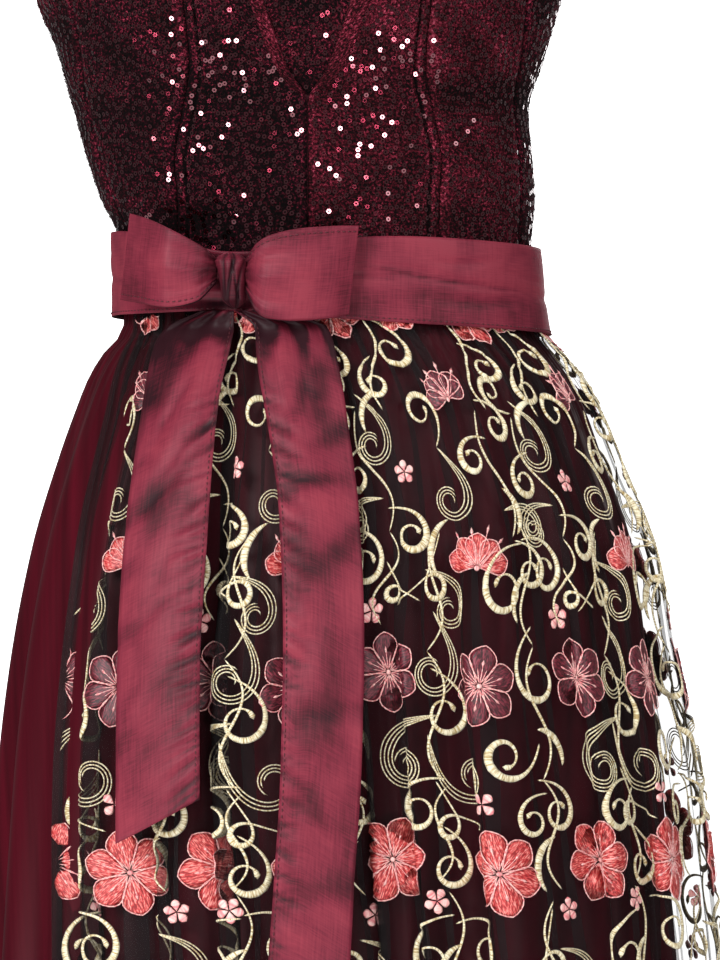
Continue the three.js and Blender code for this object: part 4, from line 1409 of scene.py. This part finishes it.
def stitch_row(name, line, out):
    """A row of stitches along a line of points, each half sunk in the cloth."""
    far = lengths(line, 0)
    at = np.arange(STITCH["apart"], far[-1] - 1, STITCH["apart"])
    places, outs = read_line(at, far, line), unit(read_line(at, far, out))
    along = unit(read_line(at, far, np.gradient(line, axis=0)))
    bm = bmesh.new()
    bmesh.ops.create_icosphere(bm, subdivisions=1, radius=0.5)
    bmesh.ops.scale(bm, vec=(STITCH["length"], STITCH["thick"], STITCH["thick"]), verts=bm.verts)
    bm.verts.index_update()
    draw = np.random.default_rng(len(name))
    axes = upright_axes(outs, along, 0.05, draw)
    piece = joined_copies(name, bm, in_frame(places + outs * STITCH["lift"]), axes, FINISHES["seam thread"])
    bm.free()
    for face in piece.data.polygons:
        face.use_smooth = True
    return piece


def linear(hex_colour):
    """A screen colour as Blender's linear red, green, blue and alpha."""
    parts = [int(hex_colour[i : i + 2], 16) / 255 for i in (1, 3, 5)]
    return tuple(p / 12.92 if p <= 0.04045 else ((p + 0.055) / 1.055) ** 2.4 for p in parts) + (1.0,)


def node(tree, kind, inputs, out=0, stops=(), **settings):
    """Adds a node and returns one of its outputs. An input is a value, or the output of another
    node. stops are the places and colours of a colour ramp."""
    made = tree.nodes.new(f"ShaderNode{kind}")
    for name, value in settings.items():
        setattr(made, name, value)
    for name, value in inputs.items():
        if isinstance(value, bpy.types.NodeSocket):
            tree.links.new(value, made.inputs[name])
        else:
            made.inputs[name].default_value = value
    for k, (place, colour) in enumerate(stops):
        step = made.color_ramp.elements[k] if k < 2 else made.color_ramp.elements.new(place)
        step.position = place
        step.color = linear(colour) if isinstance(colour, str) else (*colour, 1)
    return made.outputs[out]


def finish(name, build=None, **sockets):
    """A material of this name. build adds its pattern, from the place on the cloth in millimetres,
    and returns the links to the shader."""
    made = bpy.data.materials.new(name)
    made.use_nodes = True
    tree = made.node_tree
    shader = tree.nodes["Principled BSDF"]
    for socket, value in sockets.items():
        shader.inputs[socket.replace("_", " ")].default_value = value
    if build:
        add = functools.partial(node, tree)
        place = add("Attribute", {}, "Vector", attribute_name="cloth")
        for socket, output in build(add, place).items():
            tree.links.new(output, shader.inputs[socket])
    return made


def velvet(pile, patch_dark):
    """Cut pile: near black, with rose specks 1 to 2 mm across that are painted highlights of tips
    leaning to the light, in broader brushed patches, and painted shade in its hollows."""

    def build(add, place):
        specks = add("TexNoise", {"Vector": place, "Scale": 0.55, "Detail": 4.0, "Roughness": 0.72})
        patches = add("TexNoise", {"Vector": place, "Scale": 1 / 26, "Detail": 2.0})
        deep = add("SeparateXYZ", {"Vector": place}, "Z")
        # Painted shade darkens the pile in hollows, such as seams and tucks.
        lit = add("Math", {0: deep, 1: -0.14, 2: specks}, operation="MULTIPLY_ADD")
        tips = add("ValToRGB", {"Fac": lit}, stops=pile)
        brushed = add("ValToRGB", {"Fac": patches}, stops=((0.36, patch_dark), (0.62, "#ffffff")))
        both = {"Factor": 0.85, 6: tips, 7: brushed}
        return {
            "Base Color": add("Mix", both, 2, data_type="RGBA", blend_type="MULTIPLY"),
            "Normal": add("Bump", {"Height": specks, "Strength": 0.8, "Distance": 0.0006}),
        }

    return build


def lining(add, place):
    """Cotton in plain weave, threads 0.5 mm apart, drawn at 0.9 mm to show."""
    weave = add("TexWave", {"Vector": place, "Scale": 0.35, "Distortion": 0.6}, "Fac")
    return {"Normal": add("Bump", {"Height": weave, "Strength": 0.4, "Distance": 0.00015})}


def satin(wine):
    """Satin weave: long floats make it smooth, with faint streaks along the warp."""

    def build(add, place):
        warp = add("Mapping", {"Vector": place, "Scale": (1.0, 0.02, 1.0)})
        streaks = add("TexNoise", {"Vector": warp, "Scale": 0.7, "Detail": 2.0})
        broad = add("TexNoise", {"Vector": warp, "Scale": 0.11, "Detail": 2.0})
        return {
            "Base Color": add("ValToRGB", {"Fac": broad}, stops=((0.3, "#34030d"), (0.7, wine))),
            "Roughness": add("MapRange", {"Value": streaks, "To Min": 0.34, "To Max": 0.46}),
            "Normal": add("Bump", {"Height": streaks, "Strength": 0.25, "Distance": 0.00012}),
        }

    return build


def taffeta(rose):
    """Plain weave of near-black warp and rose weft: crisp cross ribs 0.4 mm apart, drawn at 0.8 mm
    to show, with a few thicker threads. Painted shade darkens it in hollows, in soft patches and
    where each piece is given painted shade."""

    def build(add, place):
        deep = add("SeparateXYZ", {"Vector": place}, "Z")
        flat = add("Mapping", {"Vector": place, "Scale": (1.0, 1.0, 0.0)})
        weft = add("Mapping", {"Vector": flat, "Scale": (0.06, 1.0, 1.0)})
        warp = add("Mapping", {"Vector": flat, "Scale": (1.0, 0.06, 1.0)})
        ribs = add("TexNoise", {"Vector": weft, "Scale": 1.25, "Detail": 2.0})
        slubs = add("TexNoise", {"Vector": warp, "Scale": 0.8, "Detail": 3.0})
        weave = add("Math", {0: ribs, 1: slubs}, operation="ADD")
        soft = {"Vector": flat, "Scale": 0.028, "Detail": 2.0, "Roughness": 0.4, "Distortion": 0.4}
        patches = add("TexNoise", soft)
        # Painted shade from hollows, the given shade and soft patches, with the weave on top.
        shot = 0.04
        for layer, share in ((deep, -0.14), (patches, 0.62), (weave, 0.26)):
            shot = add("Math", {0: layer, 1: share, 2: shot}, operation="MULTIPLY_ADD")
        colours = ((0.36, "#2a0d15"), (0.52, "#561926"), (0.64, "#722334"), (0.8, rose))
        raised = add("Bump", {"Height": weave, "Strength": 0.25, "Distance": 0.00015})
        uneven = {"Height": patches, "Strength": 0.35, "Distance": 0.004, "Normal": raised}
        return {"Base Color": add("ValToRGB", {"Fac": shot}, stops=colours), "Normal": add("Bump", uneven)}

    return build


def net(add, place):
    """Nylon net with six-sided holes of 0.8 mm, drawn at 1.5 mm to show as a fine grain."""
    mesh = {"Vector": place, "Scale": 0.66, "Randomness": 0.25}
    cells = add("TexVoronoi", mesh, "Distance", feature="DISTANCE_TO_EDGE")
    return {"Base Color": add("ValToRGB", {"Fac": cells}, stops=((0.08, "#2a2728"), (0.22, "#141213")))}


def stitched(pitch, stretch, stops, strength, **noise):
    """Stitches side by side, this far apart in millimetres, drawn out across or along the line.
    Real ones lie about 0.4 mm apart, so all of them are drawn coarser than that, to show."""

    def build(add, place):
        squeezed = add("Mapping", {"Vector": place, "Scale": stretch})
        rows = add("TexNoise", {"Vector": squeezed, "Scale": 1 / pitch, **noise})
        return {
            "Base Color": add("ValToRGB", {"Fac": rows}, stops=stops),
            "Normal": add("Bump", {"Height": rows, "Strength": strength, "Distance": 0.0004}),
        }

    return build


def thread(dark, light, pitch):
    """Embroidery thread: satin stitches lie across the line and shine along their length. Their colour runs
    from painted shade between them to painted highlight on them.
    """
    return stitched(pitch, (0.16, 1.0, 1.0), ((0.36, dark), (0.6, light)), 0.7, Detail=1.0)


def hatched(gaps, ground, marks):
    """A filled petal: rows of stitches along it, some paler, with dark gaps between."""
    stops = ((0.4, gaps), (0.5, ground), (0.66, marks))
    return stitched(0.65, (1.0, 0.2, 1.0), stops, 0.6, Detail=2.0, Roughness=0.6)


def make_finishes(colours):
    """Each finish, named for the real material and how its surface was made; the two velvets are named for
    their painted light.
    """
    pile = {"Roughness": 0.92, "Sheen_Roughness": 0.35, "Specular_IOR_Level": 0.1}
    pile["Sheen_Tint"] = (*colours.velvet_sheen, 1)
    # The pile ramps of the darker and the lighter copy, with painted highlights on the tips.
    down = ((0.48, "#050001"), (0.56, "#260510"), (0.64, "#6c182a"), (0.72, "#a84058"))
    up = ((0.44, "#0a0103"), (0.51, "#330812"), (0.6, "#6c182a"), (0.71, "#b04c62"))
    rayon = "rayon embroidery thread"
    FINISHES.update({
        # Two copies of one velvet with painted light: the darker one is near black but for a few tips painted
        # as highlights, and the lighter one is painted rose all over.
        "velvet down": finish(
            "silk velvet, pile brushed down", velvet(down, "#80706f"), Sheen_Weight=0.06, **pile
        ),
        "velvet up": finish("silk velvet, pile brushed up", velvet(up, "#8c7c7e"), Sheen_Weight=0.07, **pile),
        "lining": finish("cotton lining, plain weave", lining, Base_Color=linear("#4a1420"), Roughness=0.85),
        "satin": finish("polyester satin", satin(colours.satin), Specular_IOR_Level=0.12, Anisotropic=0.4),
        "taffeta": finish(
            "shot taffeta", taffeta(colours.ribbon), Roughness=0.5, Sheen_Weight=0.08, Sheen_Roughness=0.3,
            Sheen_Tint=linear("#d06878"), Specular_IOR_Level=0.18, Anisotropic=0.3,
        ),
        # One layer of net hides a third of what lies behind it, and folded layers hide more.
        "net": finish(
            "nylon net, hexagonal mesh", net, Roughness=0.9, Alpha=0.3, Specular_IOR_Level=0.0
        ),
        "net folded": finish(
            "nylon net, several layers", net, Roughness=0.9, Alpha=0.62, Specular_IOR_Level=0.0
        ),
        "gold": finish(
            f"{rayon}, champagne", thread("#b0955c", colours.gold_thread, 0.9), Roughness=0.4,
            Sheen_Weight=0.2, Anisotropic=0.4,
        ),
        "wine": finish(f"{rayon}, wine", hatched("#2c0a12", colours.wine_thread, "#8e3646"), Roughness=0.45),
        "coral": finish(
            f"{rayon}, coral", hatched("#8a1a1e", colours.coral_thread, "#f0a096"), Roughness=0.45
        ),
        "pink": finish(f"{rayon}, pink", thread("#e08084", colours.pink_thread, 1.5), Roughness=0.45),
        # Wine foil under a hard clear skin, which mirrors a light as a white glint.
        "sequin": finish(
            "polyester sequin, metallized", Base_Color=(*colours.sequins, 1), Metallic=1.0, Roughness=0.14,
            Coat_Weight=1.0, Coat_Roughness=0.05, Coat_IOR=1.8,
        ),
        "seam thread": finish("polyester sewing thread", thread("#2a0810", "#5a1422", 0.8), Roughness=0.5),
    })


def colour_setting(name, description, hex_colour):
    return bpy.props.FloatVectorProperty(
        name=name, description=description, default=linear(hex_colour)[:3], size=3, min=0, max=1,
        subtype="COLOR",
    )


class DirndlColours(bpy.types.PropertyGroup):
    """The colours of the dress's cloths and threads."""

    velvet_sheen: colour_setting("Velvet sheen", "What the velvet's pile shows at its edges", "#a04a60")
    satin: colour_setting("Satin", "The skirt's lightest satin", "#4c0616")
    ribbon: colour_setting("Ribbon", "The ribbon's rose weft", "#88303f")
    sequins: colour_setting("Sequins", "The foil of the sequins", "#701a2e")
    gold_thread: colour_setting("Gold thread", "The curls' lightest stitches", "#f4ebcb")
    coral_thread: colour_setting("Coral thread", "The ground of the coral flowers", "#cc3436")
    wine_thread: colour_setting("Wine thread", "The ground of the wine flowers", "#561420")
    pink_thread: colour_setting("Pink thread", "The rims and rays of the flowers", "#fbc9c2")


class DirndlSizes(bpy.types.PropertyGroup):
    """Sizes that don't change the dress's own shape."""

    camera_distance: bpy.props.FloatProperty(
        name="Camera distance", description="From the camera to the plane through the wearer's shoulders",
        default=2.3, min=1.0, unit="LENGTH",
    )
    view_height: bpy.props.FloatProperty(
        name="View height", description="Height of the view at that plane", default=0.6216, unit="LENGTH"
    )
    view_centre: bpy.props.FloatVectorProperty(
        name="View centre", description="The point that the camera looks at", size=3,
        default=(0.0324, 0.0, -0.526), subtype="XYZ", unit="LENGTH",
    )


class DIRNDL_OT_bodice(bpy.types.Operator):
    """Makes the velvet strips of the bodice, the bands of the V neck and the piece behind it"""

    bl_idname = "dirndl.bodice"
    bl_label = "Bodice"

    def execute(self, context):
        for name, near, far, top, ridge in STRIPS:
            for word, side in SIDES.items():
                points = velvet_strip(name, near, far, top, ridge, side)
                # The wearer's left front strips take the lighter copy, as painted light; the others take the
                # darker copy.
                is_painted_lighter = word == "left" and name in ("bodice_front", "bodice_side_front")
                pile = "velvet up" if is_painted_lighter else "velvet down"
                new_name = f"velvet_{name.removeprefix('bodice_')}_{word}"
                strip = cloth_object(new_name, points, VELVET_WALL, pile, "lining", reach=1)
                dress(strip, "velvet", f"{name}_{word}")
        for word in SIDES:
            points = neck_band(CLOTHS[f"velvet_front_{word}"], word)
            # The neck bands take the lighter copy as a painted highlight along the V.
            band = cloth_object(f"neck_band_{word}", points, BAND_WALL, "velvet up", "lining", reach=1)
            dress(band, "velvet")
        for k, points in enumerate(bodice_tapes()):
            dress(cloth_object(f"seam_tape_{k + 1:02d}", points, 0, "lining"), "velvet")
        insert = cloth_object("velvet_insert", insert_points(), INSERT_WALL, "velvet down", "lining")
        dress(insert, "velvet", "bodice_insert")
        return {"FINISHED"}


class DIRNDL_OT_sequins(bpy.types.Operator):
    """Sews the sequins onto every velvet strip"""

    bl_idname = "dirndl.sequins"
    bl_label = "Sequins"

    def execute(self, context):
        strips = [name for name in CLOTHS if name.startswith("velvet_")]
        for seed, name in enumerate(strips):
            dress(sequins_on(name.replace("velvet", "sequins"), CLOTHS[name], seed), "velvet")
        return {"FINISHED"}


class DIRNDL_OT_skirt(bpy.types.Operator):
    """Makes the two halves of the gathered satin skirt and the tapes behind their seams"""

    bl_idname = "dirndl.skirt"
    bl_label = "Skirt"

    def execute(self, context):
        for word, middle in (("front", 0), ("back", 180)):
            piece = cloth_object(f"satin_skirt_{word}", skirt_half(middle), SATIN_WALL, "satin")
            dress(piece, "satin", f"skirt_{word}")
        for k, points in enumerate(skirt_tapes()):
            dress(cloth_object(f"skirt_tape_{k + 1}", points, 0, "satin"), "satin")
        return {"FINISHED"}


class DIRNDL_OT_apron(bpy.types.Operator):
    """Makes the net of the apron, its hems and the places where it folds over itself"""

    bl_idname = "dirndl.apron"
    bl_label = "Apron net"

    def execute(self, context):
        dress(cloth_object("apron_net", apron_points(), 0, "net"), "net", "apron_panel")
        for name, (low, high), (first, last), rows, cols in APRON_HEMS:
            up, across = grid(rows, cols)
            points = on_net(mix(first, last, across), mix(low, high, up), np.full_like(up, HEM_HEIGHT))
            dress(cloth_object(name, points, 0, "net folded"), "net")
        for k, points in enumerate(net_tucks()):
            dress(cloth_object(f"apron_tuck_{k + 1:02d}", points, 0, "net folded"), "net")
        return {"FINISHED"}


class DIRNDL_OT_embroidery(bpy.types.Operator):
    """Embroiders the net with vines, curls and flowers"""

    bl_idname = "dirndl.embroidery"
    bl_label = "Embroidery"

    def execute(self, context):
        for name, lines in embroidery_lines().items():
            dress(thread_object(f"apron_{name}", lines, *THREADS[name]), "net")
        return {"FINISHED"}


class DIRNDL_OT_sash(bpy.types.Operator):
    """Makes the ribbon round the waist"""

    bl_idname = "dirndl.sash"
    bl_label = "Sash"

    def execute(self, context):
        points, shade = sash_points()
        piece = cloth_object("sash_ribbon", points, RIBBON_WALL, "taffeta", ring=True, shade=shade)
        dress(piece, "taffeta", "sash")
        return {"FINISHED"}


class DIRNDL_OT_bow(bpy.types.Operator):
    """Makes the bow: its two loops, the knot and the two hanging ends"""

    bl_idname = "dirndl.bow"
    bl_label = "Bow"

    def execute(self, context):
        for word in SIDES:
            for part, points_of in (("loop", loop_points), ("tail", tail_points)):
                points, shade = points_of(word)
                name = f"bow_ribbon_{part}_{word}"
                piece = cloth_object(name, points, RIBBON_WALL, "taffeta", shade=shade)
                dress(piece, "taffeta", f"bow_{part}_{word}")
        bm = bmesh.new()
        bmesh.ops.create_uvsphere(bm, u_segments=72, v_segments=48, radius=1)
        points, sunk = knot_point(unit(np.array([vert.co for vert in bm.verts])))
        cloth = bm.verts.layers.float_vector.new("cloth")
        for vert, place, point, deep in zip(bm.verts, in_frame(points), points, sunk):
            vert.co = place
            # Painted shade: some all over the knot and more in its creases.
            vert[cloth] = (point[0], point[2], 0.5 + 0.8 * deep)
        bmesh.ops.recalc_face_normals(bm, faces=bm.faces)
        dress(object_of("bow_ribbon_knot", bm, FINISHES["taffeta"]), "taffeta", "bow_knot")
        return {"FINISHED"}


class DIRNDL_OT_stitching(bpy.types.Operator):
    """Sews the rows of stitches along the ribbon's edges and the hems"""

    bl_idname = "dirndl.stitching"
    bl_label = "Stitching"

    def execute(self, context):
        # Which cloth, whether the row runs along its rows or its columns, and which one it follows.
        for name, axis, at in (
            ("sash_ribbon", 0, 1),
            ("bow_ribbon_tail_right", 1, 21),
            ("bow_ribbon_tail_left", 1, 1),
            ("bow_ribbon_loop_right", 0, 2),
            ("bow_ribbon_loop_left", 0, 28),
            ("satin_skirt_front", 0, 2),
            ("satin_skirt_back", 0, 2),
            ("apron_hem_low", 0, 3),
        ):
            points = CLOTHS[name]
            line, out = np.take(points, at, axis=axis), np.take(normals(points), at, axis=axis)
            dress(stitch_row(f"stitches_{name}", line, out), "taffeta")
        return {"FINISHED"}


# How each cloth is held, what it hangs from or lies on, and how the names of the pieces on it begin.
# Where several cloths share a beginning, the rest of the name has to be the same too.
HELD = (
    ("velvet_", "stretched", (), ("sequins_",)),
    ("neck_band_", "stretched", ("velvet_front_right", "velvet_front_left"), ()),
    ("seam_tape_", "stretched", ("velvet_front_right", "velvet_back_right"), ()),
    ("skirt_tape_", "stretched", ("satin_skirt_front", "satin_skirt_back"), ()),
    ("satin_skirt_", "gathered", ("velvet_front_right", "velvet_front_left"), ("stitches_satin_skirt_",)),
    ("apron_net", "gathered", ("satin_skirt_front", "sash_ribbon"), ("apron_", "stitches_apron_")),
    ("sash_ribbon", "stretched", ("satin_skirt_front", "velvet_front_right"), ("stitches_sash_",)),
    ("bow_ribbon_loop_", "folded", ("sash_ribbon", "bow_ribbon_knot"), ("stitches_bow_ribbon_loop_",)),
    ("bow_ribbon_tail_", "hung", ("bow_ribbon_knot", "apron_net"), ("stitches_bow_ribbon_tail_",)),
)


def pieces_on(name, start, starts_of_parts):
    own = name.removeprefix(start)
    for piece in bpy.data.objects:
        for first in starts_of_parts:
            if piece.name == first + own if own else piece.name.startswith(first):
                if piece.name != name:
                    yield piece


class DIRNDL_OT_cuts(bpy.types.Operator):
    """Works out the flat size that each cloth was cut to, measured on its surface, and the pieces on it, but
    keeps none of it
    """

    bl_idname = "dirndl.cuts"
    bl_label = "Flat sizes"

    def execute(self, context):
        for start, held, rests_on, starts_of_parts in HELD:
            for name in [name for name in CLOTHS if name.startswith(start)]:
                points = CLOTHS[name]
                wide = float(lengths(points, 1)[:, -1].max()) / 1000
                long = float(lengths(points, 0)[-1].max()) / 1000
                down, over = np.diff(points, axis=0)[:, :-1], np.diff(points, axis=1)[:-1]
                area = float(np.linalg.norm(np.cross(down, over), axis=-1).sum()) / 1e6
                list(pieces_on(name, start, starts_of_parts))
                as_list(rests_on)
        return {"FINISHED"}


# The lights: where each stands, its watts and its size. The two reflectors only light the sequins.
LIGHTS = (
    ("key", (-1.5, -2.3, 0.7), 72, 1.2),
    ("fill", (1.9, -1.9, 1.1), 38, 1.8),
    ("top", (0.0, 0.2, 1.9), 30, 1.6),
    ("back", (0.6, 2.3, 0.4), 18, 1.6),
    ("low reflector", (-1.03, -0.99, -1.05), 5.0, 0.3),
    ("front reflector", (0.38, -1.7, -1.0), 6.0, 0.3),
)
LIT_POINT = Vector((0, 0, -0.5))
SENSOR_WIDTH = 36
BACKDROP = {"seen": 2.2, "lighting": 0.17}
FLOOR = {"radius": 1.7, "height": -1.4}


class DIRNDL_OT_stage(bpy.types.Operator):
    """Makes the camera, the lights and the pale floor"""

    bl_idname = "dirndl.stage"
    bl_label = "Stage"

    def execute(self, context):
        sizes = context.scene.dirndl_sizes
        centre = Vector(sizes.view_centre)
        camera_data = bpy.data.cameras.new("camera")
        camera_data.sensor_width = SENSOR_WIDTH
        camera_data.lens = SENSOR_WIDTH * sizes.camera_distance / sizes.view_height
        camera = bpy.data.objects.new("camera", camera_data)
        camera.location = centre - Vector((0, sizes.camera_distance, 0))
        camera.rotation_euler = (math.pi / 2, 0, 0)
        context.scene.collection.objects.link(camera)
        context.scene.camera = camera

        for name, place, energy, size in LIGHTS:
            light_data = bpy.data.lights.new(name, "AREA")
            light_data.energy = energy
            light_data.size = size
            light = bpy.data.objects.new(name, light_data)
            light.location = place
            light.rotation_euler = (LIT_POINT - Vector(place)).to_track_quat("-Z", "Y").to_euler()
            context.scene.collection.objects.link(light)

        context.scene.view_settings.view_transform = "Standard"
        world = bpy.data.worlds.new("studio")
        context.scene.world = world
        world.use_nodes = True
        tree = world.node_tree
        lit, seen = (
            node(tree, "Background", {"Color": (1, 1, 1, 1), "Strength": BACKDROP[use]})
            for use in ("lighting", "seen")
        )
        is_seen = node(tree, "LightPath", {}, "Is Camera Ray")
        both = node(tree, "MixShader", {0: is_seen, 1: lit, 2: seen})
        tree.links.new(both, tree.nodes["World Output"].inputs["Surface"])

        bm = bmesh.new()
        bmesh.ops.create_circle(bm, cap_ends=True, segments=96, radius=FLOOR["radius"])
        bmesh.ops.translate(bm, verts=bm.verts, vec=(0, 0, FLOOR["height"]))
        paint = finish("painted studio floor, matt white", Base_Color=linear("#ecebea"), Roughness=0.8)
        object_of("floor", bm, paint)
        return {"FINISHED"}


class DIRNDL_PT_panel(bpy.types.Panel):
    """Lists the dress's pieces in the 3D view's sidebar"""

    bl_idname = "DIRNDL_PT_panel"
    bl_label = "Dirndl"
    bl_space_type = "VIEW_3D"
    bl_region_type = "UI"
    bl_category = "Dirndl"

    def draw(self, context):
        for group in (context.scene.dirndl_sizes, context.scene.dirndl_colours):
            for name in group.__annotations__:
                self.layout.prop(group, name)
        for operator in OPERATORS:
            self.layout.operator(operator.bl_idname)


OPERATORS = (
    DIRNDL_OT_stage,
    DIRNDL_OT_skirt,
    DIRNDL_OT_apron,
    DIRNDL_OT_embroidery,
    DIRNDL_OT_bodice,
    DIRNDL_OT_sequins,
    DIRNDL_OT_sash,
    DIRNDL_OT_bow,
    DIRNDL_OT_stitching,
    DIRNDL_OT_cuts,
)
GROUPS = {"dirndl_sizes": DirndlSizes, "dirndl_colours": DirndlColours}


def register():
    for cls in (*GROUPS.values(), *OPERATORS, DIRNDL_PT_panel):
        bpy.utils.register_class(cls)
    for name, cls in GROUPS.items():
        setattr(bpy.types.Scene, name, bpy.props.PointerProperty(type=cls))


def unregister():
    for name in GROUPS:
        delattr(bpy.types.Scene, name)
    for cls in (DIRNDL_PT_panel, *reversed(OPERATORS), *reversed(GROUPS.values())):
        bpy.utils.unregister_class(cls)


def main():
    register()
    make_finishes(bpy.context.scene.dirndl_colours)
    for operator in OPERATORS:
        group, name = operator.bl_idname.split(".")
        getattr(getattr(bpy.ops, group), name)()


if __name__ == "__main__":
    main()
